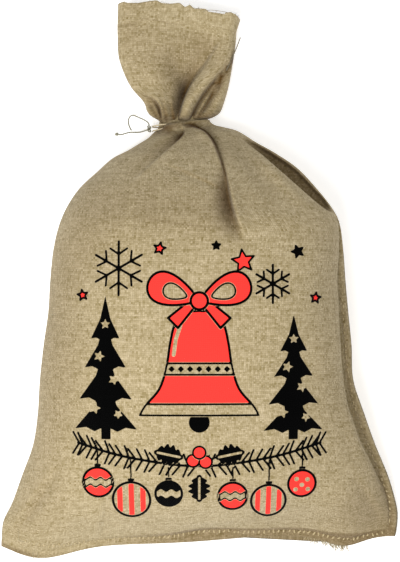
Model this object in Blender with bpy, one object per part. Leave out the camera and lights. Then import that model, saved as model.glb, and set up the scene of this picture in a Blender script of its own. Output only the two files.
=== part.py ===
"""Stuffed burlap sack with its neck tied, lying on its back.

+X is the sack's right as seen from its front, +Y runs from the bottom seam
to the mouth, and +Z is up, out of the front. The tables below are in
millimetres, and every mesh is made in metres.
"""

import math
from collections import namedtuple

import bmesh
import bpy
from mathutils import Vector

MM = 0.001

# Driving sizes, in mm
CLOTH = 1.8             # burlap, one layer
HEM = 2.6               # burlap at the mouth's turned hem
SEAM = 4.0              # thickness of a sewn edge
SIDE_LIP = 12           # seam allowance that stands out of the right side
TWINE = 2.0             # diameter of the tie
TOUCH = 0.3             # gap between pieces that touch

# Mesh fineness
BODY_COLUMNS = 34       # facets across one face of the body
FRONT_COLUMNS = 24      # facets across the front layer of the ruff
ARM_COLUMNS = 9         # facets across each layer folded behind it
TURN_COLUMNS = 4        # facets round each turn between layers

# The filled body, from the bottom seam (row 0) to the plug inside the ruff.
# left and right: where the row's two ends lie in plan
# edge_z, mid_z: height of the row's middle line at its ends and its centre
# up, down: how far the cloth stands off that line at its centre
# full: 2 is a round section, 1 a pointed one
# lip: share of the side lip at the right end
# sag: share of the bottom seam's droop
Row = namedtuple("Row", "left_x left_y right_x right_y edge_z mid_z up down full lip sag")
BODY_ROWS = (
    Row(-296, -395, 292, -382, 8, 33, 0, 0, 1.5, 1.00, 1.00),
    Row(-295, -385, 294, -372, 9, 38, 0, 0, 1.5, 1.00, 1.00),
    Row(-292, -359, 295, -347, 13, 47, 46, 32, 1.5, 1.00, 0.75),
    Row(-278, -330, 290, -322, 23, 58, 84, 60, 1.6, 1.00, 0.40),
    Row(-264, -288, 279, -288, 39, 69, 114, 80, 1.7, 1.00, 0.12),
    Row(-248, -243, 261, -240, 58, 78, 134, 98, 1.8, 1.00, 0.00),
    Row(-239, -197, 244, -197, 75, 87, 145, 112, 1.9, 1.00, 0.00),
    Row(-233, -145, 229, -145, 88, 93, 150, 118, 2.0, 1.00, 0.00),
    Row(-228, -94, 222, -95, 96, 98, 152, 122, 2.0, 1.00, 0.00),
    Row(-222, -45, 217, -45, 98, 99, 151, 122, 2.0, 1.00, 0.00),
    Row(-218, 1, 213, 1, 97, 98, 150, 122, 2.0, 1.00, 0.00),
    Row(-213, 45, 210, 45, 93, 94, 148, 118, 2.0, 0.92, 0.00),
    Row(-207, 81, 205, 84, 87, 88, 145, 112, 2.0, 0.58, 0.00),
    Row(-195, 110, 191, 110, 79, 80, 138, 104, 2.0, 0.17, 0.00),
    Row(-177, 137, 169, 136, 69, 72, 125, 92, 2.0, 0.08, 0.00),
    Row(-152, 161, 143, 165, 59, 63, 108, 76, 2.0, 0.08, 0.00),
    Row(-130, 181, 114, 188, 50, 56, 88, 62, 2.0, 0.08, 0.00),
    Row(-108, 193, 83, 206, 43, 50, 68, 50, 2.0, 0.08, 0.00),
    Row(-92, 203, 56, 220, 37, 44, 50, 40, 2.0, 0.08, 0.00),
    Row(-78, 212, 35, 229, 32, 38, 36, 32, 2.0, 0.08, 0.00),
    Row(-72, 220, 20, 233.5, 28, 32, 26, 26, 2.0, 0.08, 0.00),
    Row(-70, 227, 14, 236.5, 26, 27, 20, 20, 2.0, 0.08, 0.00),
    Row(-69, 234, 13, 242, 26, 27, 20, 20, 2.0, 0.08, 0.00),
    Row(-63, 244, 7, 249, 26, 26, 17, 17, 2.0, 0.08, 0.00),
    Row(-50, 252, -8, 254, 26, 26, 9, 9, 2.0, 0.08, 0.00),
)
BODY_RINGS = (
    0, 1, 1.2, 1.5, 2, 2.5, 3, 3.5, 4, 5, 6, 7, 8, 9, 10, 11, 11.5, 12, 12.5, 13, 13.5, 14, 14.5,
    15, 15.5, 16, 16.5, 17, 17.5, 18, 18.5, 19, 19.5, 20, 20.5, 21, 22, 23, 24,
)
SQUARENESS = 2.4        # 2 is an ellipse, more is boxier
NECK_SWELL = 20         # half thickness of the neck, where the folds have died out

# How the bottom seam droops at its ears and lifts between them, along the row
Droop = namedtuple("Droop", "at reach y")
BOTTOM_SEAM = (
    Droop(-0.82, 0.23, -19.0),
    Droop(0.74, 0.12, -10.5),
    Droop(0.30, 0.35, 5.0),
)

# The ruff above the tie is the flat mouth folded like a letter: its middle
# lies in front, and its two sides are turned in behind it, one on the other.
# front_z, second_z, third_z: height of each layer's middle line
# hem: share of the hem's extra thickness; gap: the slit of the mouth
# bulge: how far the middle of the row stands towards the mouth
Gather = namedtuple("Gather", "left_x left_y right_x right_y front_z second_z third_z hem gap bulge")
RUFF_ROWS = (
    Gather(-57, 231, 1, 233, 33, 27, 20, 0, 0.6, 0),
    Gather(-61, 238, 6, 243, 43, 27, 15, 0, 0.6, 0),
    Gather(-74, 245, 20, 248, 48, 28, 11, 0, 0.8, 0),
    Gather(-79, 253, 30, 254, 49, 28, 9.0, 0, 1.0, 0),
    Gather(-84, 266, 36, 266, 48, 28, 7.0, 0, 1.2, 0),
    Gather(-101, 291, 43, 291, 46, 27, 5.5, 0, 1.6, 1),
    Gather(-117, 329, 49, 325, 45, 26, 5.0, 0, 2.0, 4),
    Gather(-121, 362, 53, 352, 44, 25, 5.0, 0, 2.2, 8),
    Gather(-122, 380, 56, 366, 44, 24, 5.0, 0, 2.4, 10),
    Gather(-122, 383, 57, 368, 44, 24, 5.0, 1, 2.4, 10),
    Gather(-122, 411, 60, 387, 43, 23, 5.0, 1, 2.6, 12),
)
MOUTH_FROM = 4          # row where the slit of the mouth begins
FOLDS_FROM = 2          # row where the ruff's folds have reached their height
ARM_SHORT = 4           # how far the layers behind stop short of the turns
RIPPLE = 3              # waves of the layers behind, at the mouth
STIFF_HEIGHT = 40       # folds fade out towards the floor below this height

# Folds pressed into the cloth, as soft ridges (+) and troughs (-).
# path: plan points; left and right: reach to either side of the path as it
# runs; start and end: height at the path's two ends
Fold = namedtuple("Fold", "path left right start end")
BODY_FOLDS = (
    # main crease down the right edge of the centre fan, and the ridge beside it
    Fold(((-8, 230), (16, 208), (30, 176), (41, 135), (54, 60)), 16, 10, -15, 0),
    Fold(((22, 226), (34, 200), (46, 170), (56, 130), (68, 60)), 12, 22, 6, 4),
    # pocket under the fan's left edge, and the fan itself
    Fold(((-26, 222), (-34, 204), (-50, 188), (-68, 172)), 9, 20, -12, -2),
    Fold(((-12, 220), (-20, 196), (-34, 172), (-50, 150)), 18, 18, 8, 2),
    # deep curved groove over the right shoulder, and the roll inside it
    Fold(((63, 208), (95, 191), (122, 171), (150, 145), (172, 124), (196, 96)), 8, 11, -14, -12),
    Fold(((54, 194), (84, 178), (110, 158), (138, 130), (160, 108), (182, 80)), 16, 16, 6, 5),
    # short puckers below the tie
    Fold(((-60, 218), (-84, 186)), 7, 7, -6, 0),
    Fold(((-48, 224), (-66, 192)), 7, 7, 6, 0),
    Fold(((-36, 224), (-46, 204)), 5, 5, -5, 0),
    Fold(((4, 234), (26, 216), (54, 192)), 6, 6, -7, 0),
    # folds that run in from the two ears
    Fold(((-272, -362), (-226, -310), (-180, -270)), 26, 26, -5, 0),
    Fold(((276, -352), (236, -300), (200, -262)), 24, 24, -5, 0),
)
RUFF_FOLDS = (
    # broad left lobe
    Fold(((-56, 240), (-66, 290), (-76, 350), (-80, 420)), 30, 24, 8, 20),
    # straight band that crosses to the right
    Fold(((-24, 240), (-4, 268), (22, 300), (38, 335), (44, 400)), 14, 11, 16, 8),
    # narrow ridge beside it, and the outer right lobe
    Fold(((0, 240), (16, 272), (34, 312), (46, 360)), 6, 6, 9, 0),
    Fold(((10, 240), (34, 284), (48, 330), (54, 400)), 8, 11, 12, 9),
    # low swell between the lobes at the mouth
    Fold(((-20, 345), (-16, 380), (-14, 420)), 22, 22, 2, 12),
)

# The tie: its turns round the neck, its knot, and the routes of its two free
# ends from the knot to the floor
TIE_ROW = 21.5
TIE_TURNS = 1.9
TIE_MIDDLE = 0.95       # middle of the wrapped length, as a share of the way round
TIE_POINTS = 77
KNOT_PLACE = (-75.7, 226.5, 29)
KNOT_LOOP = 1.6         # size of the knot's loops
KNOT_DEPTH = 1.4        # how far the loops stand apart, as a share of that size
KNOT_POINTS = 54
TAIL_ROUTE = (
    (-75.7, 226.5, 22.9), (-76.4, 226.3, 19.6), (-79.2, 225.6, 15.4), (-83.4, 224.4, 11.0),
    (-88.2, 223.2, 6.8), (-93.2, 222.7, 3.2), (-98.4, 222.9, 1.5), (-104.0, 222.9, 1.2),
    (-109.5, 221.9, 1.2), (-114.5, 220.4, 1.2), (-119.0, 219.3, 1.2), (-121.6, 219.6, 1.2),
)
CURL_ROUTE = (
    (-75.7, 232.0, 32.2), (-77.0, 235.1, 33.1), (-80.4, 238.2, 31.6), (-84.6, 240.8, 27.0),
    (-89.2, 243.2, 19.5), (-93.8, 245.6, 11.0), (-98.0, 247.6, 4.6), (-101.6, 248.2, 1.8),
    (-104.8, 246.6, 1.2), (-107.0, 242.6, 1.2), (-107.4, 237.4, 1.2), (-106.2, 232.2, 1.2),
    (-104.2, 228.0, 1.2), (-103.0, 225.6, 1.2),
)
END_KNOT = (2.9, 2.3, 2.1)          # half sizes of the small knot on the tail
END_KNOT_LIES = (-3.1, 0.4, 1.3)    # where it lies from the tail's end

# Frayed threads past the bottom seam
FRAY_FROM = 0.57        # where the fray starts and ends along the bottom row
FRAY_TO = 0.79
FRAY_THREADS = 20
FRAY_THREAD = 1.2       # width of one thread
FRAY_BACKING = 1.6      # width of the strip that the threads grow from
FRAY_LENGTHS = (6, 9, 5, 8, 11, 7, 9, 5, 10, 7, 6, 9, 12, 8, 6, 10, 7)
FRAY_LEAN = 0.22        # how far the threads lean to either side
FRAY_DROP = (0.15, 0.50)    # how steeply every other thread drops


def smooth(low, high, value):
    """Cubic step from 0 at low to 1 at high."""
    share = min(1.0, max(0.0, (value - low) / (high - low)))
    return share * share * (3 - 2 * share)


def row_at(rows, place):
    """Row of a table at any place between its rows, on a smooth curve."""
    index = min(int(place), len(rows) - 2)
    share = place - index
    square, cube = share ** 2, share ** 3
    before = rows[max(index - 1, 0)]
    here = rows[index]
    after = rows[index + 1]
    beyond = rows[min(index + 2, len(rows) - 1)]
    values = []
    for a, b, c, d in zip(before, here, after, beyond):
        values.append(
            b * (2 * cube - 3 * square + 1) + (c - a) / 2 * (cube - 2 * square + share)
            + c * (3 * square - 2 * cube) + (d - b) / 2 * (cube - square)
        )
    return type(here)(*values)


def smooth_points(route, count):
    """Evenly shared points on one smooth curve through a route's points."""
    Place = namedtuple("Place", "x y z")
    rows = [Place(*point) for point in route]
    last = len(rows) - 1
    return [Vector(row_at(rows, last * i / (count - 1))) for i in range(count)]


def fold_height(folds, x, y):
    """Height that the folds add at a plan point."""
    point = Vector((x, y))
    total = 0.0
    for fold in folds:
        found = []
        steps = len(fold.path) - 1
        for i in range(steps):
            a, b = Vector(fold.path[i]), Vector(fold.path[i + 1])
            along = b - a
            share = min(1.0, max(0.0, (point - a).dot(along) / along.length_squared))
            offset = point - a - along * share
            side = along.x * offset.y - along.y * offset.x
            found.append((offset.length, side, (i + share) / steps))
        distance, side, share = min(found)
        reach = fold.left if side > 0 else fold.right
        height = fold.start + (fold.end - fold.start) * share
        total += height * math.exp(-(distance / reach) ** 2)
    return total


def body_columns():
    """Places of the facets' edges across a row, closer together towards its ends."""
    return [-math.cos(math.pi * i / BODY_COLUMNS) for i in range(BODY_COLUMNS + 1)]


def body_point(row, across, stand):
    """Point of the body across a row: stand is +1 on the front and -1 on the back."""
    left = Vector((row.left_x, row.left_y, 0))
    right = Vector((row.right_x, row.right_y, 0))
    right -= (right - left).normalized() * row.lip * SIDE_LIP
    point = left.lerp(right, (1 + across) / 2)
    for droop in BOTTOM_SEAM:
        bell = math.exp(-((across - droop.at) / droop.reach) ** 2)
        point.y += row.sag * droop.y * bell * (1 - across ** 10)
    line = row.edge_z + (row.mid_z - row.edge_z) * (1 - across ** 2)
    swell = max(0.0, 1 - abs(across) ** SQUARENESS) ** (1 / row.full)
    if stand > 0:
        raised = smooth(0, 0.3, swell) * smooth(NECK_SWELL, 2 * NECK_SWELL, row.up)
        point.z = line + SEAM / 2 + row.up * swell
        point.z += raised * fold_height(BODY_FOLDS, point.x, point.y)
    else:
        point.z = max(line - SEAM / 2 - row.down * swell, 0)
    return point


def body_ring(place):
    """Closed ring round the body, as its front and back sides with the seam's lip."""
    row = row_at(BODY_ROWS, place)
    sides = []
    for stand in (1, -1):
        side = [body_point(row, across, stand) for across in body_columns()]
        along = Vector((row.right_x - row.left_x, row.right_y - row.left_y, 0)).normalized()
        side.append(side[-1] + along * row.lip * SIDE_LIP)
        sides.append(side)
    return sides


def seam_edge(across):
    """Point on the middle of the bottom seam's faceted edge."""
    row = BODY_ROWS[0]
    columns = body_columns()
    right = next(i for i, column in enumerate(columns) if column >= across)
    low, high = columns[right - 1], columns[right]
    near = body_point(row, low, 1).lerp(body_point(row, low, -1), 0.5)
    far = body_point(row, high, 1).lerp(body_point(row, high, -1), 0.5)
    return near.lerp(far, (across - low) / (high - low))


def strip_centre(row, ripple):
    """Middle line of the folded mouth across its row, as (x, z) points."""
    left_turn = (row.front_z - row.second_z) / 2
    right_turn = (row.front_z - row.third_z) / 2
    wall = CLOTH + (HEM - CLOTH) * row.hem + row.gap / 2
    left_x = row.left_x + wall + left_turn
    right_x = row.right_x - wall - right_turn
    points = []
    for i in range(ARM_COLUMNS):
        share = i / ARM_COLUMNS
        wave = ripple * math.sin(2 * math.pi * share) * (1 - share)
        points.append((right_x - ARM_SHORT + (left_x - right_x + ARM_SHORT) * share, row.second_z + wave))
    for i in range(TURN_COLUMNS):
        angle = math.pi * (1.5 - i / TURN_COLUMNS)
        points.append((left_x + left_turn * math.cos(angle),
                       row.front_z - left_turn + left_turn * math.sin(angle)))
    for i in range(FRONT_COLUMNS):
        points.append((left_x + (right_x - left_x) * i / FRONT_COLUMNS, row.front_z))
    for i in range(TURN_COLUMNS):
        angle = math.pi * (0.5 - i / TURN_COLUMNS)
        points.append((right_x + right_turn * math.cos(angle),
                       row.front_z - right_turn + right_turn * math.sin(angle)))
    for i in range(ARM_COLUMNS + 1):
        share = i / ARM_COLUMNS
        wave = ripple * (1 - math.cos(2 * math.pi * share)) / 2
        points.append((right_x + (left_x + ARM_SHORT - right_x) * share, row.third_z + wave))
    return points


def ruff_ring(place, half, inset):
    """Two sides of the folded strip, half its thickness either side of its middle line."""
    row = RUFF_ROWS[place]
    last_row = len(RUFF_ROWS) - 1
    centre = [Vector(point) for point in strip_centre(row, RIPPLE * smooth(MOUTH_FROM, last_row, place))]
    centre[0] += (centre[1] - centre[0]).normalized() * inset
    centre[-1] += (centre[-2] - centre[-1]).normalized() * inset
    sides = ([], [])
    for i, point in enumerate(centre):
        tangent = centre[min(i + 1, len(centre) - 1)] - centre[max(i - 1, 0)]
        normal = Vector((-tangent.y, tangent.x)).normalized()
        for side, sign in zip(sides, (1, -1)):
            x, z = point + normal * half * sign
            share = (x - row.left_x) / (row.right_x - row.left_x)
            y = row.left_y + (row.right_y - row.left_y) * share
            y += row.bulge * (1 - min(1.0, (2 * share - 1) ** 2))
            free = smooth(0, FOLDS_FROM, place) * min(1.0, z / STIFF_HEIGHT)
            side.append(Vector((x, y, z + free * fold_height(RUFF_FOLDS, x, y))))
    return sides


def add_material(name, colour, roughness):
    """Principled material with its colour, roughness and no metal."""
    material = bpy.data.materials.new(name)
    material.use_nodes = True
    shader = material.node_tree.nodes["Principled BSDF"]
    shader.inputs["Base Color"].default_value = (*colour, 1)
    shader.inputs["Roughness"].default_value = roughness
    shader.inputs["Metallic"].default_value = 0
    material.diffuse_color = (*colour, 1)
    return material


def add_object(name, bm, material):
    """Object made of a bmesh, in flat triangles whose faces point outwards."""
    bmesh.ops.recalc_face_normals(bm, faces=bm.faces)
    bmesh.ops.triangulate(bm, faces=bm.faces)
    mesh = bpy.data.meshes.new(name)
    bm.to_mesh(mesh)
    bm.free()
    mesh.shade_smooth()
    thing = bpy.data.objects.new(name, mesh)
    bpy.context.scene.collection.objects.link(thing)
    mesh.materials.append(material)
    return thing


def make_ring(bm, sides):
    """Vertices of a closed ring: one side, then the other one backwards."""
    first, second = sides
    return [bm.verts.new(point * MM) for point in first + second[::-1]]


def skin(bm, rings):
    """Quads between closed rings that follow one another."""
    for lower, upper in zip(rings, rings[1:]):
        for i in range(len(lower)):
            bm.faces.new((lower[i - 1], lower[i], upper[i], upper[i - 1]))


def cap(bm, ring):
    """Close a flat ring with a strip of quads between its two long sides."""
    for i in range(len(ring) // 2 - 1):
        bm.faces.new((ring[i], ring[i + 1], ring[-2 - i], ring[-1 - i]))


def make_body():
    """Filled body, seam to neck, closed at the seam and inside the ruff."""
    bm = bmesh.new()
    rings = [make_ring(bm, body_ring(place)) for place in BODY_RINGS]
    skin(bm, rings)
    cap(bm, rings[0])
    cap(bm, rings[-1])
    return bm


def make_ruff():
    """Folded mouth above the tie, with the slit between its two layers."""
    bm = bmesh.new()
    outer = []
    inner = []
    for place, row in enumerate(RUFF_ROWS):
        wall = CLOTH + (HEM - CLOTH) * row.hem
        outer.append(make_ring(bm, ruff_ring(place, wall + row.gap / 2, 0)))
        if place >= MOUTH_FROM:
            inner.append(make_ring(bm, ruff_ring(place, row.gap / 2, wall)))
    skin(bm, outer)
    cap(bm, outer[0])
    skin(bm, inner)
    cap(bm, inner[0])
    skin(bm, [outer[-1], inner[-1]])
    return bm


def make_sack(material):
    """Body and ruff as one piece of cloth."""
    sack = add_object("sack", make_body(), material)
    ruff = add_object("ruff_layers", make_ruff(), material)
    ruff.hide_render = True
    ruff.display_type = "WIRE"
    joining = sack.modifiers.new("one_cloth", "BOOLEAN")
    joining.operation = "UNION"
    joining.solver = "EXACT"
    joining.object = ruff


def add_tube(name, points, material, closed=False):
    """Twine through the given points."""
    curve = bpy.data.curves.new(name, "CURVE")
    curve.dimensions = "3D"
    curve.bevel_depth = TWINE / 2 * MM
    curve.bevel_resolution = 2
    curve.use_fill_caps = not closed
    spline = curve.splines.new("POLY")
    spline.points.add(len(points) - 1)
    spline.use_cyclic_u = closed
    for target, point in zip(spline.points, points):
        target.co = (*(point * MM), 1)
    thing = bpy.data.objects.new(name, curve)
    bpy.context.scene.collection.objects.link(thing)
    curve.materials.append(material)


def neck_loop():
    """Closed route round the neck, half the twine clear of the cloth."""
    row = row_at(BODY_ROWS, TIE_ROW)
    along = Vector((row.right_x - row.left_x, row.right_y - row.left_y, 0)).normalized()
    towards_mouth = Vector((-along.y, along.x, 0))
    front, back = body_ring(TIE_ROW)
    ring = front + back[::-1]
    clear = TWINE / 2 + 3 * TOUCH
    loop = []
    for i, point in enumerate(ring):
        before = (point - ring[i - 1]).cross(towards_mouth).normalized()
        after = (ring[(i + 1) % len(ring)] - point).cross(towards_mouth).normalized()
        outward = (before + after).normalized()
        loop.append(point + outward * clear / outward.dot(after))
    return loop, towards_mouth


def wrap_points():
    """Points of the tie's turns round the neck, side by side."""
    loop, towards_mouth = neck_loop()
    lengths = [0.0]
    for a, b in zip(loop, loop[1:] + loop[:1]):
        lengths.append(lengths[-1] + (b - a).length)
    points = []
    for i in range(TIE_POINTS):
        turn = TIE_TURNS * (i / (TIE_POINTS - 1) - 0.5)
        place = (turn + TIE_MIDDLE) % 1 * lengths[-1]
        k = max(j for j, length in enumerate(lengths[:-1]) if length <= place)
        share = (place - lengths[k]) / (lengths[k + 1] - lengths[k])
        spot = loop[k].lerp(loop[(k + 1) % len(loop)], share)
        points.append(spot + towards_mouth * (TWINE + 2 * TOUCH) * turn)
    return points


def knot_points():
    """Closed trefoil, the core of a simple overhand knot."""
    centre = Vector(KNOT_PLACE)
    points = []
    for i in range(KNOT_POINTS):
        t = 2 * math.pi * i / KNOT_POINTS
        depth = -math.sin(3 * t) * KNOT_DEPTH
        loop = Vector((depth, math.sin(t) + 2 * math.sin(2 * t), math.cos(t) - 2 * math.cos(2 * t)))
        points.append(centre + loop * KNOT_LOOP)
    return points


def make_end_knot(material):
    """Small lumpy knot on the tip of the tail."""
    bm = bmesh.new()
    bmesh.ops.create_uvsphere(bm, u_segments=12, v_segments=8, radius=1)
    place = Vector(TAIL_ROUTE[-1]) + Vector(END_KNOT_LIES)
    for vert in bm.verts:
        angle = math.atan2(vert.co.z, vert.co.y)
        lump = 1 + 0.12 * math.cos(3 * angle + 2.5 * vert.co.x)
        lumps = Vector((1, lump, lump))
        vert.co = (place + vert.co * lumps * Vector(END_KNOT)) * MM
    add_object("tie_end", bm, material)


def make_tie(material):
    """Turns of twine round the neck, their knot, the two free ends and the end knot."""
    add_tube("tie_wrap", wrap_points(), material)
    add_tube("tie_knot", knot_points(), material, closed=True)
    for name, route in (("tie_tail", TAIL_ROUTE), ("tie_curl", CURL_ROUTE)):
        add_tube(name, smooth_points(route, 2 * len(route) + 1), material)
    make_end_knot(material)


def fray_cuts():
    """Edges of the backing's slots along the bottom row: margin, thread, space, thread and so on."""
    row = BODY_ROWS[0]
    thread = FRAY_THREAD / (row.right_x - row.left_x) * 2
    pitch = (FRAY_TO - FRAY_FROM) / (FRAY_THREADS - 1)
    cuts = [FRAY_FROM - thread]
    for number in range(FRAY_THREADS):
        start = FRAY_FROM + pitch * number
        cuts.extend((start, start + thread))
    cuts.append(cuts[-1] + thread)
    return cuts


def make_fray(material):
    """Row of frayed threads on a narrow backing, just past the bottom seam."""
    bm = bmesh.new()
    rise = Vector((0, 0, FRAY_THREAD / 2))
    sections = []
    for across in fray_cuts():
        near = seam_edge(across) - Vector((0, 2 * TOUCH, 0))
        far = near - Vector((0, FRAY_BACKING, 0))
        corners = (near + rise, near - rise, far - rise, far + rise)
        sections.append([bm.verts.new(corner * MM) for corner in corners])
    bm.faces.new(sections[0])
    bm.faces.new(sections[-1][::-1])
    fronts = []
    for left, right in zip(sections, sections[1:]):
        for k in range(4):
            face = bm.faces.new((left[k], right[k], right[k - 3], left[k - 3]))
            if k == 2:
                fronts.append(face)
    bmesh.ops.recalc_face_normals(bm, faces=bm.faces)
    for number, face in enumerate(fronts[1::2]):
        length = FRAY_LENGTHS[number % len(FRAY_LENGTHS)] * MM
        lean = FRAY_LEAN * math.sin(0.7 * number)
        for bend in (0.5, 1.5):
            way = Vector((lean * bend, -1, -FRAY_DROP[number % 2] * bend)).normalized()
            face = bmesh.ops.extrude_discrete_faces(bm, faces=[face])["faces"][0]
            bmesh.ops.translate(bm, verts=face.verts, vec=way * length / 2)
    add_object("bottom_fray", bm, material)


def centre_on_floor(left_out):
    """Centre the box of the part, less its free ends, over the origin."""
    bpy.context.view_layer.update()
    graph = bpy.context.evaluated_depsgraph_get()
    points = []
    for thing in bpy.context.scene.objects:
        if not thing.hide_render and thing.name not in left_out:
            points.extend(vert.co.copy() for vert in thing.evaluated_get(graph).to_mesh().vertices)
    low_x, high_x = min(p.x for p in points), max(p.x for p in points)
    low_y, high_y = min(p.y for p in points), max(p.y for p in points)
    for thing in bpy.context.scene.objects:
        thing.location = (-(low_x + high_x) / 2, -(low_y + high_y) / 2, 0)


def main():
    for thing in list(bpy.data.objects):
        bpy.data.objects.remove(thing, do_unlink=True)
    burlap = add_material("burlap", (0.46, 0.37, 0.22), 0.9)
    twine = add_material("jute_twine", (0.55, 0.48, 0.36), 0.85)
    frayed = add_material("frayed_jute", (0.42, 0.33, 0.19), 0.9)
    make_sack(burlap)
    make_tie(twine)
    make_fray(frayed)
    centre_on_floor(left_out=("tie_tail", "tie_curl", "tie_end"))


main()
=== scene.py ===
import math
import random

import bmesh
import bpy
import numpy as np
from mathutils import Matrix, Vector, noise
from mathutils.bvhtree import BVHTree


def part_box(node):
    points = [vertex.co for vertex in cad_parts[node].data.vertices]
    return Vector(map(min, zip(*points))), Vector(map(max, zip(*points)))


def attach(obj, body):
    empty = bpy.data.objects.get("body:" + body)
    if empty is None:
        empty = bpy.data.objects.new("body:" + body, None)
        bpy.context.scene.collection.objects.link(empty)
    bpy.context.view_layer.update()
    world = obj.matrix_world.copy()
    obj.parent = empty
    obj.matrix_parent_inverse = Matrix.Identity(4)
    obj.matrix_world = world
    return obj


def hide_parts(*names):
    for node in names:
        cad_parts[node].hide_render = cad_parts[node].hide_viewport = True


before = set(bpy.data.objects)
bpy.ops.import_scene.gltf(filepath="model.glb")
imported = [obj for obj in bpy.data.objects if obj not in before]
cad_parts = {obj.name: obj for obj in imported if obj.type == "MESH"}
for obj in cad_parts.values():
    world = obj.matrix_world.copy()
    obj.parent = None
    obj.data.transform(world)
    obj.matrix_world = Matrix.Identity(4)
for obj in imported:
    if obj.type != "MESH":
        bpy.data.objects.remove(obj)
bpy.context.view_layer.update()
mm = 0.001

# The sack lies on its back. Its plan is in millimetres from the point under the camera:
# +X to its right side, +Y to its mouth. The left ear and the mouth place that plan in the frame.
plan = {"leftEar": -296.0, "mouthTop": 414.0}
sackLow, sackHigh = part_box("sack")
planShift = np.array((sackLow.x / mm - plan["leftEar"], sackHigh.y / mm - plan["mouthTop"], 0.0))


def toFrame(points):
    return (np.asarray(points, float) + planShift) * mm


view = {
    "height": 4.0,          # metres above the floor, straight over the plan's origin
    "pixel": 1.5 * mm,      # one pixel of the photo at floor level
    "imageHeight": 562,
    "sensor": 36.0,
}


def addCamera():
    data = bpy.data.cameras.new("camera")
    data.sensor_width = view["sensor"]
    data.lens = view["sensor"] * view["height"] / (view["imageHeight"] * view["pixel"])
    data.clip_end = 50
    eye = bpy.data.objects.new("camera", data)
    bpy.context.scene.collection.objects.link(eye)
    eye.location = Vector(toFrame((0, 0, 0))) + Vector((0, 0, view["height"]))
    bpy.context.scene.camera = eye


addCamera()
print("camera is placed")


def rowsAt(table, places):
    # a smooth curve through the table's rows, read at any places between them
    rows = np.array(table, float)
    places = np.atleast_1d(np.asarray(places, float))
    index = np.clip(places.astype(int), 0, len(rows) - 2)
    share = (places - index)[:, None]
    before = rows[np.maximum(index - 1, 0)]
    here = rows[index]
    after = rows[index + 1]
    beyond = rows[np.minimum(index + 2, len(rows) - 1)]
    square, cube = share ** 2, share ** 3
    return (here * (2 * cube - 3 * square + 1) + (after - before) / 2 * (cube - 2 * square + share)
            + after * (3 * square - 2 * cube) + (beyond - here) / 2 * (cube - square))


def throughRows(table, count):
    return rowsAt(table, np.linspace(0, len(table) - 1, count))


def travel(points):
    # how far along a path each of its points lies
    return np.concatenate(((0,), np.cumsum(np.linalg.norm(np.diff(points, axis=0), axis=1))))


def smooth(low, high, value):
    share = np.clip((value - low) / (high - low), 0, 1)
    return share * share * (3 - 2 * share)


def alongPath(path, x, y):
    # nearest place on a path for each plan point: its index, its distance and its side (+ is left)
    points = np.stack((x, y), -1)
    start, end = path[:-1, :2], path[1:, :2]
    along = end - start
    offset = points[:, None] - start
    share = np.clip((offset * along).sum(-1) / np.maximum((along ** 2).sum(-1), 1e-9), 0, 1)
    gap = offset - along * share[..., None]
    distance = np.hypot(gap[..., 0], gap[..., 1])
    nearest = distance.argmin(1)
    each = np.arange(len(points))
    side = along[nearest, 0] * gap[each, nearest, 1] - along[nearest, 1] * gap[each, nearest, 0]
    return nearest + share[each, nearest], distance[each, nearest], np.sign(side)


# How the tables of folds and shadows are read
foldLook = {
    "finer": 6,             # steps between two rows of a fold
    "reaches": 2.6,         # a fold is felt as far as this many times its reach
    "slitReach": 2.0,       # mm
    "darkDepth": 25.0,      # mm of depth at which the painted shade in a fold's hollow is full
    "darkSlit": 9.0,        # mm of depth at which a slit's painted shade is full
    "dark": 0.3,            # the painted shade of a fold that states none
    "shadowFiner": 4,
    "shadowReaches": 2.0,
    "fall": 2,              # how a shadow fades: 2 softly, more with a firmer edge
    "ledgeBox": (8, 60),    # mm below and above a ledge's path that it may reach
    "ledgeDark": (2, 14),   # mm of drop over which painted shade sets in on the cloth below a ledge's wall
}


def foldPath(rows):
    # a fold's rows of four give the same height and reach to both sides, and have no slit
    full = [row if len(row) == 7 else row + row[2:] + (0,) for row in rows]
    return throughRows(full, foldLook["finer"] * (len(rows) - 1) + 1)


def shadowPath(rows):
    # a shadow's rows of four give the same reach to both sides
    full = [row if len(row) == 5 else row[:3] + row[2:] for row in rows]
    return throughRows(full, foldLook["shadowFiner"] * (len(rows) - 1) + 1)


def beside(path, x, y):
    # the path's columns beside each plan point, with its place along the path, its distance and side
    place, distance, side = alongPath(path, x, y)
    low = np.minimum(place.astype(int), len(path) - 2)
    return path[low] + (path[low + 1] - path[low]) * (place - low)[:, None], place, distance, side


def closeTo(path, margin, x, y):
    # which plan points lie in the path's box or within a margin round it
    return ((x > path[:, 0].min() - margin) & (x < path[:, 0].max() + margin)
            & (y > path[:, 1].min() - margin) & (y < path[:, 1].max() + margin))


def foldRelief(folds, x, y):
    # height that the folds add at plan points, and the painted shade they put in their hollows and slits, from 0 to
    # 1
    total, shade = np.zeros_like(x), np.zeros_like(x)
    for fold in folds:
        path = foldPath(fold["rows"])
        near = closeTo(path, foldLook["reaches"] * path[:, (3, 5)].max(), x, y)
        if not near.any():
            continue
        here, place, distance, side = beside(path, x[near], y[near])
        left = here[:, 2] * np.exp(-(distance / here[:, 3]) ** 2)
        right = here[:, 4] * np.exp(-(distance / here[:, 5]) ** 2)
        startEdge, endEdge = fold["edge"] if isinstance(fold["edge"], tuple) else (fold["edge"],) * 2
        edge = startEdge + (endEdge - startEdge) * place / (len(path) - 1)
        turn = smooth(-1, 1, distance * side / edge)
        slit = here[:, 6] * np.exp(-(distance / foldLook["slitReach"]) ** 2)
        height = right + (left - right) * turn
        total[near] += height - slit
        shade[near] += (fold.get("dark", foldLook["dark"]) * np.maximum(-height, 0) / foldLook["darkDepth"]
                        + slit / foldLook["darkSlit"])
    return total, np.clip(shade, 0, 1)


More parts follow.
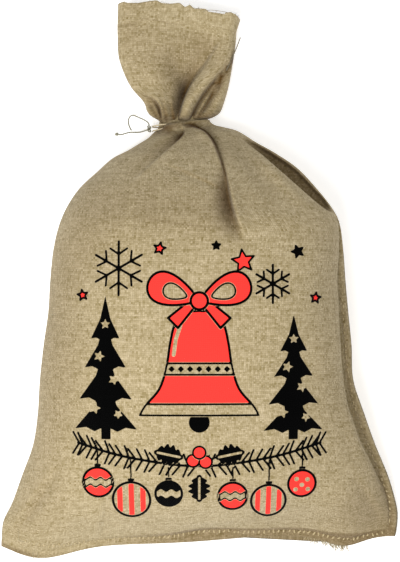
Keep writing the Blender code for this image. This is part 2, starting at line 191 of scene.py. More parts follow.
def darkAlong(shadows, x, y):
    # painted shade along seams, gathers and creases and in broad patches at plan points, from 0 to 1, paler where
    # less than 0
    total = np.zeros_like(x)
    for shadow in shadows:
        path = shadowPath(shadow["rows"])
        near = closeTo(path, foldLook["shadowReaches"] * path[:, (2, 3)].max(), x, y)
        if not near.any():
            continue
        here, _, distance, side = beside(path, x[near], y[near])
        wide = np.where(side > 0, here[:, 2], here[:, 3])
        total[near] += here[:, 4] * np.exp(-(distance / wide) ** shadow.get("fall", foldLook["fall"]))
    return total


# Rows run from the bottom seam to the plug inside the ruff, in millimetres. edgeZ and midZ are the
# height of the row's middle line, up and down how far the cloth stands off it, full how round the
# section is, lip the share of the seam's flange, sag the share of the bottom seam's droop.
sackBody = {
    # leftX, leftY, rightX, rightY, edgeZ, midZ, up, down, full, lip, sag
    "rows": (
        (-297.5, -397, 292, -382, 8, 33, 0, 0, 1.5, 1.00, 1.00),
        (-297, -386, 294, -372, 9, 38, 0, 0, 1.5, 1.00, 1.00),
        (-294, -359, 295.5, -347, 13, 47, 46, 32, 1.5, 1.00, 0.75),
        (-279.8, -330, 290, -322, 23, 58, 84, 60, 1.6, 1.00, 0.40),
        (-264, -288, 279, -288, 39, 69, 114, 80, 1.7, 1.00, 0.12),
        (-247, -243, 258.5, -240, 58, 78, 134, 98, 1.8, 1.00, 0.00),
        (-239, -197, 242.5, -197, 75, 87, 145, 112, 1.9, 1.00, 0.00),
        (-235, -145, 225, -145, 88, 93, 150, 118, 2.0, 1.00, 0.00),
        (-229, -94, 222, -95, 96, 98, 152, 122, 2.0, 1.00, 0.00),
        (-222, -45, 217, -45, 98, 99, 151, 122, 2.0, 1.00, 0.00),
        (-219.3, 1, 213, 1, 97, 98, 150, 122, 2.0, 1.00, 0.00),
        (-215, 45, 210, 45, 93, 94, 148, 118, 2.0, 0.55, 0.00),
        (-207, 81, 205, 84, 87, 88, 145, 112, 2.0, 0.20, 0.00),
        (-195, 110, 193.8, 107.8, 79, 80, 138, 104, 2.0, 0.10, 0.00),
        (-177, 137, 171.6, 136.8, 69, 72, 125, 92, 2.0, 0.08, 0.00),
        (-152, 161, 144.5, 166.2, 59, 63, 108, 76, 2.0, 0.08, 0.00),
        (-130, 181, 114, 188, 50, 56, 88, 62, 2.0, 0.08, 0.00),
        (-108, 193, 83, 206, 43, 50, 68, 50, 2.0, 0.08, 0.00),
        (-92, 203, 57, 222.5, 37, 44, 50, 40, 2.0, 0.08, 0.00),
        (-78, 212, 35, 229, 32, 38, 36, 32, 2.0, 0.08, 0.00),
        (-70, 220, 20, 232.5, 28, 32, 26, 26, 2.0, 0.08, 0.00),
        (-63, 227, 14, 235.5, 26, 27, 20, 20, 2.0, 0.08, 0.00),
        (-61, 234, 12, 240, 26, 27, 20, 20, 2.0, 0.08, 0.00),
        (-58, 244, 7, 248, 26, 26, 17, 17, 2.0, 0.08, 0.00),
        (-50, 252, -8, 254, 26, 26, 9, 9, 2.0, 0.08, 0.00),
    ),
    "droops": ((-0.82, 0.235, -20.8), (0.785, 0.13, -14.0), (0.38, 0.33, 6.4)),   # at, reach, y
    "bandRise": (0.08, 0.17, 7.0),      # at, reach, y: the seam's band is broadest here
    "dimmerThanHem": 0.10,           # how much darker than the ruff's hem the cloth is made everywhere else
    "squareness": 2.4,      # 2 is an ellipse across the row, more is fuller at the sides
    "seamHalf": 2.0,        # half the thickness of the sewn edges
    "foot": 0.15,           # rows over which the bottom seam's edge rounds over
    "plug": 23,             # the row where the plug in the ruff begins to close
    "endsOpen": 0.1,        # the share of their thickness that the first and last row keep, and faces fill
    "tied": (20.5, 21.05),  # rows over which the folds run out under the tie
    "sideLip": 12.0,        # the seam allowance that stands out of the right side
    "frontColumns": 300,
    "lipColumns": 3,
    "backColumns": 56,
    "spacing": (0.66, 0.34),    # shares of even columns, and of columns that crowd to the sides
    "fineRow": 1.6,         # mm between rows under the print, whose edges need them
    "row": 3.0,             # and elsewhere
    "lumps": 2.2,           # how uneven the filling makes it
    "lumpSize": 75.0,
    "restsBelow": 12,       # the back keeps its flat up to this height
}

# Each fold runs up towards the mouth. Columns: x, y, height and reach of the cloth to its left,
# height and reach to its right, and the depth of the slit where the two meet. A row of four is the
# same on both sides.
# A fold's dark is the painted shade that it puts in its hollow and slit.
bodyFolds = (
    # main crease: the fan laps over the right panel at the neck, and sinks beside it lower down
    {"edge": (5, 0.5), "dark": 0.62, "rows": (
        (60, 58, 0, 20, 0, 16, 0), (56, 74, -6, 21, 2, 15, 0), (51, 88, -13, 20, 4, 13, 0),
        (47, 104, -19, 19, 5, 13, 0), (43, 122, -20, 17, 5, 13, 1), (39.5, 140, -15, 14, 3, 12, 3),
        (36, 156, -8, 11, -1, 10, 5), (32, 170, -1, 10, -5, 10, 6), (26, 187, 6, 12, -8, 10, 7),
        (20, 202, 9, 12, -10, 9, 7), (13, 213, 11, 11, -11, 9, 6), (5, 221, 11, 9, -11, 8, 5),
        (-4, 225.8, 9, 7, -9, 6, 5), (-13, 227.2, 6, 6, -7, 5, 4), (-21, 226.6, 3, 5, -4, 4, 2),
    )},
    # pocket at the fan's left edge, where the left shoulder dives under it
    {"edge": 1.8, "rows": (
        (-98, 142, 0, 18, 0, 16, 0), (-80, 160, -5, 19, 3, 15, 0), (-63, 176, -11, 19, 5, 14, 0),
        (-47, 191, -17, 17, 8, 13, 0), (-35, 203, -22, 14, 10, 12, 2), (-28, 211, -24, 11, 11, 11, 4),
        (-24, 217.5, -15, 9, 8, 9, 3), (-24, 224, -2, 6, 1, 8, 0),
    )},
    # the left shoulder's own round edge, above the pocket
    {"edge": 5, "rows": (
        (-104, 168, 0, 14), (-86, 185, 3, 12), (-70, 200, 6, 10), (-56, 213, 9, 9), (-42, 223, 9, 8),
        (-32, 229, 5, 6),
    )},
    # gathers that dive under the tie at the left
    {"edge": 4, "rows": (
        (-69, 219, 0, 5), (-61, 224, -4, 5), (-53, 228, -6, 5.5, -6, 5.5, 1), (-45, 230, -6, 5.5, -6, 5.5, 1),
        (-37, 231.5, -4, 5), (-27, 233, 0, 4),
    )},
    # fan's swell between the pocket and the crease
    {"edge": 6, "rows": (
        (-30, 120, 0, 30), (-18, 158, 3, 26, 3, 24, 0), (-6, 190, 6, 20, 6, 18, 0), (-4, 214, 7, 13, 7, 12, 0),
        (-8, 228, 4, 10),
    )},
    # ridge down the right of the front, inside the side seam
    {"edge": 3, "rows": (
        (283, -342, 0, 14, 0, 10, 0), (262, -292, 3, 14, 3, 9, 0), (247, -262, 5, 13, 5, 8, 0),
        (234, -237, 6, 12, 6, 8, 0), (225, -213, 6, 12, 6, 8, 0), (214, -183, 5, 12, 5, 8, 0),
        (208, -153, 5, 12, 5, 8, 0), (203, -100, 5, 12, 5, 7, 0), (200, -60, 6, 12, 6, 7, 0),
        (199, -20, 5, 12, 5, 7, 0), (202, 30, 4, 12, 4, 6, 0), (201, 70, 2, 12, 2, 6, 0),
        (190, 100, 0, 12, 0, 6, 0),
    )},
    # roll of cloth along the edge of the shoulder's groove
    {"edge": 3, "rows": (
        (194, 90, 0, 12, 0, 6, 0), (174, 104, 4, 12, 3, 6, 0), (156, 116, 7, 14, 6, 6, 0),
        (136, 134, 8, 14, 7, 6, 0), (113, 159, 8, 13, 7, 6, 0), (91, 180, 6, 12, 5, 5, 0),
        (62, 204, 2, 10, 1, 5, 0), (42, 219, 0, 8, 0, 5, 0),
    )},
    # faint crease across the fan
    {"edge": 2.5, "rows": (
        (-58, 172, 0, 8), (-36, 163, 1.3, 7, -1.6, 7, 0.4), (-8, 150, 1.5, 7, -1.8, 7, 0.6),
        (14, 140, 1.6, 7, -1.8, 7, 0.5), (32, 131, 0, 7),
    )},
    # low hollow in the right panel, below the groove's edge
    {"edge": 8, "rows": (
        (120, 96, 0, 20), (104, 128, -3, 18), (82, 158, -5, 16), (60, 186, -5, 12), (44, 206, -3, 8),
    )},
    # fold that runs in from the left ear
    {"edge": 8, "rows": (
        (-286, -376, 0, 12), (-262, -348, 4, 16, -7, 14, 0), (-236, -310, 4, 20, -8, 18, 0),
        (-204, -262, 0, 24, 0, 22, 0),
    )},
    # fold that runs in from the right ear
    {"edge": 8, "rows": (
        (284, -366, 0, 12), (262, -336, -2.5, 16, 1.5, 14, 0), (240, -300, -2.5, 20, 1.5, 16, 0),
        (214, -262, 0, 20),
    )},
    # where the bottom seam's allowance is stitched down, and the band below it
    {"edge": 1.2, "rows": (
        (-170, -385, 0, 5, 0, 11, 0), (-110, -381, 0.4, 5, -0.4, 11, 0), (-46, -377, 0.9, 5, -1.0, 11, 0.5),
        (-16, -372, 0.9, 5, -1.2, 11, 0.6), (22, -369, 0.9, 5, -1.2, 11, 0.6),
        (79, -371, 0.9, 5, -1.2, 11, 0.6), (147, -370, 0.9, 5, -1.2, 11, 0.6),
        (216, -382, 0.9, 5, -1.2, 10, 0.6), (254, -377, 0.9, 5, -1.2, 9, 0.6),
        (287, -372, 0.4, 4, -0.6, 8, 0.3),
    )},
    # low pleats above the bottom seam
    {"edge": 6, "rows": (
        (-150, -384, 0, 10), (-146, -362, 3, 12, -4, 12, 0), (-140, -330, 2, 16, -3, 16, 0),
        (-134, -296, 0, 18),
    )},
    {"edge": 6, "rows": (
        (96, -372, 0, 10), (92, -352, -4, 12, 3, 12, 0), (86, -322, -3, 16, 2, 16, 0), (82, -292, 0, 18),
    )},
)

# Where the cloth drops, right of a path, to a level of its own: the deep groove over the right
# shoulder, and the band of the side seam. Columns: x, y, level, share of the drop
# A ledge's dark is the painted shade on the cloth that it drops.
ledges = (
    {"wall": 2.4, "dark": 0.44, "rows": (
        (195, 97, 88, 0.0), (184, 102.5, 82, 0.9), (169, 113, 74, 1.0), (150.5, 129, 66, 1.0),
        (131.5, 146, 62, 1.0), (109.5, 165.5, 56, 1.0), (92, 182, 52, 1.0), (73, 198, 48, 0.8),
        (58, 209, 46, 0.2), (48, 216, 46, 0.0),
    )},
    {"wall": 4.0, "dark": 0.0, "rows": (
        (284, -346, 18, 0.0), (276, -324, 28, 0.6), (262, -294, 42, 1.0), (247, -264, 56, 1.0),
        (234, -239, 66, 1.0), (224, -213, 76, 1.0), (214, -184, 86, 1.0), (208, -154, 95, 1.0),
        (204, -121, 100, 1.0), (202, -92, 104, 1.0), (200, -61, 106, 1.0), (199, -21, 106, 1.0),
        (200, 14, 108, 0.9), (203, 40, 112, 0.4), (204, 62, 112, 0.0),
    )},
)

# Painted shade along seams, gathers and creases and in broad patches, or paler where less than 0.
# Columns: x, y, reach to the left and to the right of the path, darkness. A row of four reaches as
# far to both sides.
bodyShadows = (
    # painted shade on the band of the bottom seam, where the allowance is folded under
    {"fall": 5, "rows": (
        (-180, -385, 1.5, 20, 0.0), (-110, -379.5, 1.5, 24, 0.16), (-46, -375, 2, 34, 0.32),
        (-16, -370, 2, 34, 0.42), (22, -367, 2, 34, 0.38), (79, -369, 2, 34, 0.40), (147, -368, 2, 34, 0.36),
        (200, -376, 2, 34, 0.38), (240, -377, 2, 30, 0.32), (290, -371, 2, 20, 0.2),
    )},
    # painted shade along the left ear's edge
    {"rows": (
        (-297, -392, 4, 0.3), (-288, -399, 4, 0.50), (-270, -405, 4, 0.50), (-250, -410, 4, 0.40),
        (-228, -411, 4, 0.15), (-190, -406, 4, 0.16), (-150, -398, 5, 0.2),
    )},
    # painted shade on the band of the side seam, darkest where the sack is full
    {"fall": 3, "rows": (
        (283, -368, 3, 6, 0.06), (284, -340, 4, 8, 0.10), (268, -298, 8, 12, 0.10), (247, -250, 12, 0.03),
        (228, -200, 12, 0.02), (216, -150, 10, 14, 0.07), (213, -110, 9, 12, 0.05), (210, -60, 8, 12, 0.04),
        (207, -10, 6, 10, 0.02),
    )},
    # painted shade in the groove where the stitches pull the side seam in
    {"rows": (
        (283, -368, 3, 0.14), (284, -335, 3, 0.18), (261, -272, 3, 0.20), (234, -206, 3, 0.20),
        (219, -146, 3, 0.20), (211, -53, 3, 0.16), (207, 10, 3, 0),
    )},
    # painted shade in the gathers that dive under the tie at the left
    {"rows": (
        (-66, 216, 5, 4, 0.2), (-60, 221, 6, 5, 0.55), (-51, 226, 7, 5, 0.80), (-43, 227.5, 6, 5, 0.62),
        (-32, 230, 5, 4, 0.40), (-20, 232, 4, 0.30), (0, 234, 4, 3, 0.2),
    )},
    # painted shade in the hollow between them and the pocket
    {"rows": ((-52, 216.5, 3, 0.2), (-46, 219, 4, 3.5, 0.55), (-39, 222, 3, 0.2))},
    # painted shade in the left pocket's depth
    {"rows": (
        (-38, 203, 7, 2.5, 0.2), (-30, 211, 6, 2.5, 0.5), (-26, 216, 5, 2.5, 0.55), (-25, 222, 3, 2.5, 0.1),
    )},
    # soft shade left of the main crease, where the fan sinks
    {"rows": (
        (62, 54, 18, 3, 0.08), (56, 74, 20, 2, 0.24), (49.5, 95, 20, 1.5, 0.26), (43.5, 115, 18, 1.5, 0.26),
        (39, 136, 12, 1.5, 0.24), (36, 156, 7, 2, 0.16), (32, 170, 4, 2, 0.05),
    )},
    # painted shade above the fan's round top, under the tie
    {"rows": (
        (25, 194, 0.8, 2.4, 0.2), (20, 203, 0.8, 2.6, 0.35), (13, 213, 0.8, 2.8, 0.45),
        (5, 221, 0.8, 3.0, 0.55), (-4, 225.8, 0.8, 3.0, 0.55), (-13, 227.2, 0.8, 3.0, 0.50),
        (-21, 226.6, 0.8, 2.6, 0.3),
    )},
    # painted shade in two thin creases across the fan
    {"rows": (
        (-36, 163, 1.6, 0.0), (-30, 160.5, 1.7, 0.24), (-7, 150.5, 1.7, 0.24), (14.5, 140.5, 1.7, 0.28),
        (32, 130.5, 1.7, 0.24),
    )},
    {"rows": ((-74, 88, 1.5, 0.14), (-37, 82, 1.5, 0.22), (5, 77, 1.5, 0.12), (34, 75, 1.5, 0.0))},
    # pale threads down the left
    {"rows": ((-97, 138, 1.5, 0.0), (-98, 130, 1.5, -0.12), (-104, 88, 1.5, -0.12), (-106, 70, 1.5, 0.0))},
    {"rows": ((-92, 136, 1.5, 0.0), (-93, 128, 1.5, -0.12), (-98.5, 84, 1.5, -0.12), (-100, 66, 1.5, 0.0))},
    {"rows": ((-55, 156, 1.5, 0.0), (-56.5, 146, 1.5, -0.12), (-59, 104, 1.5, -0.12), (-60, 92, 1.5, 0.0))},
    # broad painted shade at the right ear
    {"rows": ((288, -362, 60, 0.28), (262, -330, 60, 0.18))},
    # broad painted shade above the bottom seam
    {"rows": ((130, -352, 50, 0.10), (230, -350, 50, 0.14))},
    # broad painted shade below the fan
    {"rows": ((-75, 104, 45, 0.18), (10, 92, 40, 0.16))},
    # broad painted shade down the left side and down the right
    {"rows": (
        (-150, 92, 50, 0.18), (-205, -20, 44, 0.20), (-205, -150, 44, 0.20), (-225, -230, 44, 0.14),
        (-245, -340, 50, 0.10),
    )},
    {"rows": ((195, 50, 30, 0.08), (190, -120, 30, 0.10), (215, -230, 40, 0.10))},
)

# Lighter rim of the groove, along the sack's outline
rimFolds = (
    {"edge": 3, "dark": 0, "rows": (
        (196.5, 98, 0, 2.2), (190.5, 109, 3, 2.2), (181.5, 121, 5, 2.2), (168.4, 135.5, 7, 2.2),
        (142.0, 163.5, 8, 2.4), (112.0, 185.2, 8, 2.4), (84, 202, 5, 2.4), (66, 211, 0, 2.4),
    )},
)

# Roll of cloth below the tie that leans over the twine in front: the rows that it lies between,
# how far it rises and leans in mm, and how far to the left it reaches
neckRoll = {"from": 19.3, "crest": 20.6, "to": 21.05, "rise": 8.0, "lean": 6.5, "left": -0.58}


def bodyColumns():
    # how far across the row each column lies, which face it is on, and how far out on the lip
    even, crowded = sackBody["spacing"]

    def spaced(count):
        steps = np.linspace(0, 1, count + 1)
        return even * (2 * steps - 1) - crowded * np.cos(math.pi * steps)
    front = spaced(sackBody["frontColumns"])
    back = spaced(sackBody["backColumns"])[::-1]
    lip = np.linspace(0, 1, sackBody["lipColumns"] + 1)[1:]
    across = np.concatenate((front, np.ones(2 * len(lip) - 1), back))
    out = np.concatenate((np.zeros(len(front)), lip, lip[:-1][::-1], np.zeros(len(back))))
    face = np.concatenate((np.ones(len(front) + len(lip)), -np.ones(len(lip) - 1 + len(back))))
    return across, face, out


def bodyPoints(places, across, face, out):
    # rows by columns of points on the body, in plan millimetres, and the painted shade there
    rows = rowsAt(sackBody["rows"], places)
    place = places[:, None]
    leftX, leftY, rightX, rightY, edgeZ, midZ, up, down, full, lip, sag = rows.T[:, :, None]
    up, down = np.maximum(up, 0), np.maximum(down, 0)
    wide = np.hypot(rightX - leftX, rightY - leftY)
    alongX, alongY = (rightX - leftX) / wide, (rightY - leftY) / wide
    flange = lip * sackBody["sideLip"]
    share = (1 + across) / 2
    x = leftX + (wide - flange) * alongX * share + flange * alongX * out
    y = leftY + (wide - flange) * alongY * share + flange * alongY * out
    for at, reach, droop in sackBody["droops"]:
        y = y + sag * droop * np.exp(-((across - at) / reach) ** 2) * (1 - across ** 10)
    bandAt, bandReach, bandRise = sackBody["bandRise"]
    footRow = smooth(0, 1, place) * (1 - smooth(1, 2, place))
    y = y + footRow * bandRise * np.exp(-((across - bandAt) / bandReach) ** 2)

    # the section: a middle line, the seams' thickness, and the swell of the filling
    line = edgeZ + (midZ - edgeZ) * (1 - across ** 2)
    swell = np.maximum(0, 1 - np.abs(across) ** sackBody["squareness"]) ** (1 / full)
    closing = np.sqrt(np.clip(1 - (1 - np.clip(place / sackBody["foot"], 0, 1)) ** 2, 0, 1))
    closing = closing * np.sqrt(np.clip(1 - np.clip(place - sackBody["plug"], 0, 1) ** 2, 0, 1))
    closing = np.maximum(closing, sackBody["endsOpen"])
    half = sackBody["seamHalf"] * smooth(0.5, 1, across) * np.sqrt(np.maximum(0, 1 - out ** 4))
    half = np.maximum(half, sackBody["seamHalf"] * (1 - smooth(1, 2, place)) * smooth(-1, -0.97, across))
    half = half * closing
    ends = np.where(place > sackBody["plug"], closing, 1)
    front = line + half + up * swell * ends
    back = np.maximum(line - half - down * swell * ends, 0)

    # folds, ledges and lumps
    loose = smooth(0, 0.3, swell) * (1 - smooth(*sackBody["tied"], place))
    near = np.broadcast_to(face > 0, x.shape)
    relief, shade = np.zeros_like(x), np.zeros_like(x)
    relief[near], shade[near] = foldRelief(bodyFolds, x[near], y[near])
    front, sunk = sinkLedges(x, y, front + loose * relief, near)
    front[near] += foldRelief(rimFolds, x[near], y[near])[0]
    shade = np.clip(loose * shade + sunk, 0, 1)
    z = np.where(face > 0, front, back)
    spots = np.stack((x, y, z), -1).reshape(-1, 3)
    lumps = np.array([noise.noise(Vector(spot) / sackBody["lumpSize"]) for spot in spots]).reshape(x.shape)
    lifted = sackBody["lumps"] * lumps * smooth(0.2, 0.7, swell) * smooth(20, 60, up)
    z = np.where((face > 0) | (z > sackBody["restsBelow"]), z + lifted, z)

    # the roll below the tie
    bulge = smooth(neckRoll["from"], neckRoll["crest"], place)
    bulge = bulge * (1 - smooth(neckRoll["crest"], neckRoll["to"], place))
    bulge = bulge * smooth(neckRoll["left"] - 0.25, neckRoll["left"], across)
    bulge = bulge * smooth(0, 0.5, swell) * (face > 0)
    z = z + neckRoll["rise"] * bulge
    y = y + neckRoll["lean"] * bulge
    shade[near] += darkAlong(bodyShadows, x[near], y[near])
    shade = np.clip(shade + sackBody["dimmerThanHem"], 0, 1)
    return np.stack((x, y, np.maximum(z, 0)), -1), shade


def sinkLedges(x, y, z, near):
    # drops the front to each ledge's level, to the right of its edge, and paints shade on what drops
    shade = np.zeros_like(z)
    for ledge in ledges:
        path = throughRows(ledge["rows"], 60)
        below, above = foldLook["ledgeBox"]
        inside = near & (x > path[:, 0].min() - below)
        inside = inside & (y > path[:, 1].min() - below) & (y < path[:, 1].max() + above)
        here, _, distance, side = beside(path, x[inside], y[inside])
        drop = smooth(0, ledge["wall"], -distance * side) * here[:, 3]
        fall = drop * np.minimum(here[:, 2] - z[inside], 0)
        z = z.copy()
        z[inside] += fall
        shade[inside] += ledge["dark"] * drop * smooth(*foldLook["ledgeDark"], -fall)
    return z, shade


def frontLine(places, across):
    # the front's points at one place across the rows
    return bodyPoints(places, np.array((across,)), np.array((1.0,)), np.array((0.0,)))[0][:, 0]


def evenPlaces():
    # row places along the front's middle, closer together under the print
    fine = np.linspace(0, len(sackBody["rows"]) - 1, 1500)
    middle = frontLine(fine, 0.0)
    low, high = printLook["from"], printLook["to"]
    printed = smooth(low - 6, low, middle[1:, 1]) * (1 - smooth(high, high + 6, middle[1:, 1]))
    pitch = sackBody["row"] + (sackBody["fineRow"] - sackBody["row"]) * printed
    count = np.concatenate(((0,), np.cumsum(np.linalg.norm(np.diff(middle, axis=0), axis=1) / pitch)))
    return np.interp(np.linspace(0, count[-1], round(count[-1]) + 1), count, fine)


# A generic winter print in black and red ink, in millimetres from its middle
printLook = {
    "middle": (-1.0, -140.0),
    "from": -350.0,         # the plan y that it lies between
    "to": 76.0,
    "line": 4.2,            # width of the black outlines
    "unprinted": -5.0,      # how deep in the ink the bare cloth is said to lie
    "bell": {
        "profile": ((0, 98), (20, 95), (34, 80), (41, 52), (46, 20), (56, -12), (76, -36), (84, -50)),
        "strips": ((-50, -34), (8, 24)),
        "diamonds": {"each": range(-3, 4), "pitch": 13, "y": 16, "size": 5},
        "clapper": (0, -60, 15),
        "shine": ((-27, 76), (-33, 58), (-36, 36)),
        "shineWidth": 5,
    },
    "bow": {
        "knot": (0, 112, 12), "loop": (36, 19), "loopAt": (38, 126), "turn": 20,
        "hole": 0.48, "holeAt": (34, 124), "tail": ((6, 104), (30, 74), (44, 88), (14, 112)),
    },
    "trees": ((-133, -86, 206, 46), (134, -86, 180, 44)),           # x, foot, height, half width
    "treeTiers": (          # top and foot as shares down, width
        (0.00, 0.30, 0.46), (0.15, 0.50, 0.66), (0.34, 0.72, 0.84), (0.54, 0.93, 1.00),
    ),
    "treeStars": (          # x, share down, size
        (0, 0.20, 7), (-9, 0.42, 8), (12, 0.58, 8), (-16, 0.78, 9), (18, 0.82, 7),
    ),
    "trunk": (7, 0.06),     # half its width, and half its height as a share of the tree's
    "stars": (              # x, y, size, turn, fill
        (62, 168, 17, 8, "red"), (140, 182, 9, 20, "black"), (-56, 186, 9, -12, "red"),
        (-166, 120, 8, 10, "red"), (166, 116, 8, -8, "red"), (24, 190, 6, 0, "black"),
    ),
    "flakes": ((-114, 158, 38), (104, 136, 27)),                    # x, y, size
    "baubles": (            # x, hangs from y, y, radius, fill, trim
        (-146, -104, -150, 22, "red", "band"), (-98, -116, -176, 27, "bare", "stripes"),
        (-44, -126, -166, 19, "black", "band"), (48, -126, -170, 21, "red", "band"),
        (100, -116, -178, 25, "bare", "stripes"), (148, -104, -152, 20, "red", "dots"),
    ),
    "cap": (5, 4, 2),       # half its width and height, and how far it stands off the ball
    "band": {"half": 0.24, "wave": 2, "pace": 0.42},    # in radii, mm, and radians to a mm
    "stripes": {"each": (-0.62, 0.0, 0.62), "half": 0.15},      # in radii, and so are the dots
    "dots": ((-0.4, 0.35), (0.4, 0.3), (0, -0.1), (-0.45, -0.45), (0.45, -0.45)),
    "dotSize": 0.16,
    "bough": ((-174, -92), (-100, -112), (0, -124), (100, -112), (174, -92)),
    "needles": {"count": 38, "length": 18.0, "width": 3.6},
    "leaves": ((-32, -112, 168), (32, -112, 12), (0, -136, 270)),   # x, y, turn
    "leafSize": (44, 17),
    "stem": 10,             # how far a leaf's stem end is set back
    "vein": {"from": 6, "to": 0.86, "width": 2.8},      # mm, share of the leaf, mm
    "berries": ((-9, -116, 9), (9, -118, 9), (0, -104, 9)),
}


def circleDistance(x, y, centreX, centreY, radius):
    return np.hypot(x - centreX, y - centreY) - radius


def strokeDistance(x, y, points, width):
    path = np.array(points, float)
    return alongPath(path, x, y)[1] - width / 2


def outlineDistance(x, y, outline):
    # distance to a closed outline, negative inside it
    corners = np.array(outline, float)
    closed = np.concatenate((corners, corners[:1]))
    distance = alongPath(closed, x, y)[1]
    inside = np.zeros(len(x), bool)
    for (ax, ay), (bx, by) in zip(closed, closed[1:]):
        crosses = (ay > y) != (by > y)
        inside ^= crosses & (x < (bx - ax) * (y - ay) / (by - ay + 1e-12) + ax)
    return np.where(inside, -distance, distance)


def inkOn(ink, colour, distance):
    ink[colour] = np.minimum(ink[colour], distance)


def inkOff(ink, colour, distance):
    ink[colour] = np.maximum(ink[colour], -distance)


def lay(ink, distance, fill, line):
    # a motif covers what is printed under it, then gets its own fill and black outline
    inkOff(ink, "black", distance - line / 2)
    inkOff(ink, "red", distance - line / 2)
    if fill in ink:
        inkOn(ink, fill, distance)
    if line:
        inkOn(ink, "black", np.abs(distance) - line / 2)


def turned(points, centre, degrees):
    angle = math.radians(degrees)
    points = np.array(points, float)
    spun = np.stack((points[:, 0] * math.cos(angle) - points[:, 1] * math.sin(angle),
                     points[:, 0] * math.sin(angle) + points[:, 1] * math.cos(angle)), -1)
    return spun + centre


def starOutline(size, tips=5):
    angles = math.pi / 2 + math.pi * np.arange(2 * tips) / tips
    radii = np.where(np.arange(2 * tips) % 2 == 0, size, 0.45 * size)
    return np.stack((radii * np.cos(angles), radii * np.sin(angles)), -1)


def leafOutline(length, width):
    # holly leaf: five hollow scallops down each side
    share = np.linspace(0, 1, 41)
    side = width * np.sin(math.pi * share) ** 0.8 * (0.62 + 0.38 * np.abs(np.cos(5 * math.pi * share)))
    upper = np.stack((length * share, side), -1)
    lower = np.stack((length * share[::-1], -side[::-1]), -1)
    return np.concatenate((upper, lower[1:-1]))


def printTrees(ink, x, y):
    for centre, foot, height, half in printLook["trees"]:
        top = foot + height
        trunkHalf, trunkHigh = printLook["trunk"]
        trunk = np.abs(y - foot - height * trunkHigh) - height * trunkHigh
        lay(ink, np.maximum(np.abs(x - centre) - trunkHalf, trunk), "black", 0)
        for upper, lower, width in printLook["treeTiers"]:
            wide, high, low = half * width, top - height * upper, top - height * lower
            dip = 0.12 * wide
            right = ((0, high), (wide * 0.36, (high + low) / 2 - dip), (wide, low), (wide * 0.62, low + dip * 0.5),
                     (wide * 0.36, low - dip * 0.6), (wide * 0.12, low + dip * 0.4))
            outline = right + tuple((-a, b) for a, b in right[:0:-1])
            inkOn(ink, "black", outlineDistance(x - centre, y, outline))
        for starX, down, size in printLook["treeStars"]:
            star = turned(starOutline(size), (starX, top - height * down), 10 * starX)
            inkOff(ink, "black", outlineDistance(x - centre, y, star))


def printBell(ink, x, y, line):
    bell, diamonds = printLook["bell"], printLook["bell"]["diamonds"]
    lay(ink, circleDistance(x, y, *bell["clapper"]), "black", 0)
    side = throughRows(bell["profile"], 36)
    body = outlineDistance(x, y, np.concatenate((side, side[::-1] * (-1, 1))))
    lay(ink, body, "red", line)
    for low, high in bell["strips"]:
        lay(ink, np.maximum(body, np.maximum(low - y, y - high)), "bare", line * 0.8)
    for spot in diamonds["each"]:
        diamond = np.abs(x - diamonds["pitch"] * spot) + np.abs(y - diamonds["y"]) - diamonds["size"]
        inkOn(ink, "black", np.maximum(diamond, body))
    inkOff(ink, "red", strokeDistance(x, y, bell["shine"], bell["shineWidth"]))


def printBow(ink, x, y, line):
    bow = printLook["bow"]
    angles = np.linspace(0, 2 * math.pi, 33)[:-1]
    wide, high = bow["loop"]
    loop = np.stack((wide * np.cos(angles), high * np.sin(angles) * (1.1 + 0.5 * np.cos(angles))), -1)
    loop = turned(loop, bow["loopAt"], bow["turn"])
    hole = (loop - bow["loopAt"]) * bow["hole"] + bow["holeAt"]
    for way in ((-1, 1), (1, 1)):
        lay(ink, outlineDistance(x, y, np.array(bow["tail"]) * way), "red", line)
        lay(ink, outlineDistance(x, y, loop * way), "red", line)
        lay(ink, outlineDistance(x, y, hole * way), "bare", line * 0.7)
    lay(ink, circleDistance(x, y, *bow["knot"]), "red", line)


def printSky(ink, x, y, line):
    for centreX, centreY, size, angle, fill in printLook["stars"]:
        star = turned(starOutline(size), (centreX, centreY), angle)
        lay(ink, outlineDistance(x, y, star), fill, line * 0.8)
    for centreX, centreY, size in printLook["flakes"]:
        inner, tip = 0.52 * size, 0.32 * size
        for angle in range(30, 390, 60):
            spoke = turned(((0, 0), (size, 0)), (centreX, centreY), angle)
            inkOn(ink, "black", strokeDistance(x, y, spoke, line * 0.95))
            for way in (-1, 1):
                barb = turned(((inner, 0), (inner + 0.7 * tip, way * tip)), (centreX, centreY), angle)
                inkOn(ink, "black", strokeDistance(x, y, barb, line * 0.85))


def printBough(ink, x, y, line):
    last, needles = len(printLook["bough"]) - 1, printLook["needles"]
    inkOn(ink, "black", strokeDistance(x, y, throughRows(printLook["bough"], 60), line))
    spots = rowsAt(printLook["bough"], np.linspace(0.04, last - 0.04, needles["count"]))
    for number, spot in enumerate(spots):
        lean = 1 if spot[0] > 0 else -1
        for way, turn in ((-1, 58), (1, 62)):
            angle = math.radians(turn + 9 * math.sin(2.3 * number))
            tip = spot + needles["length"] * np.array((lean * math.cos(angle), way * math.sin(angle)))
            inkOn(ink, "black", strokeDistance(x, y, (spot, tip), needles["width"]))


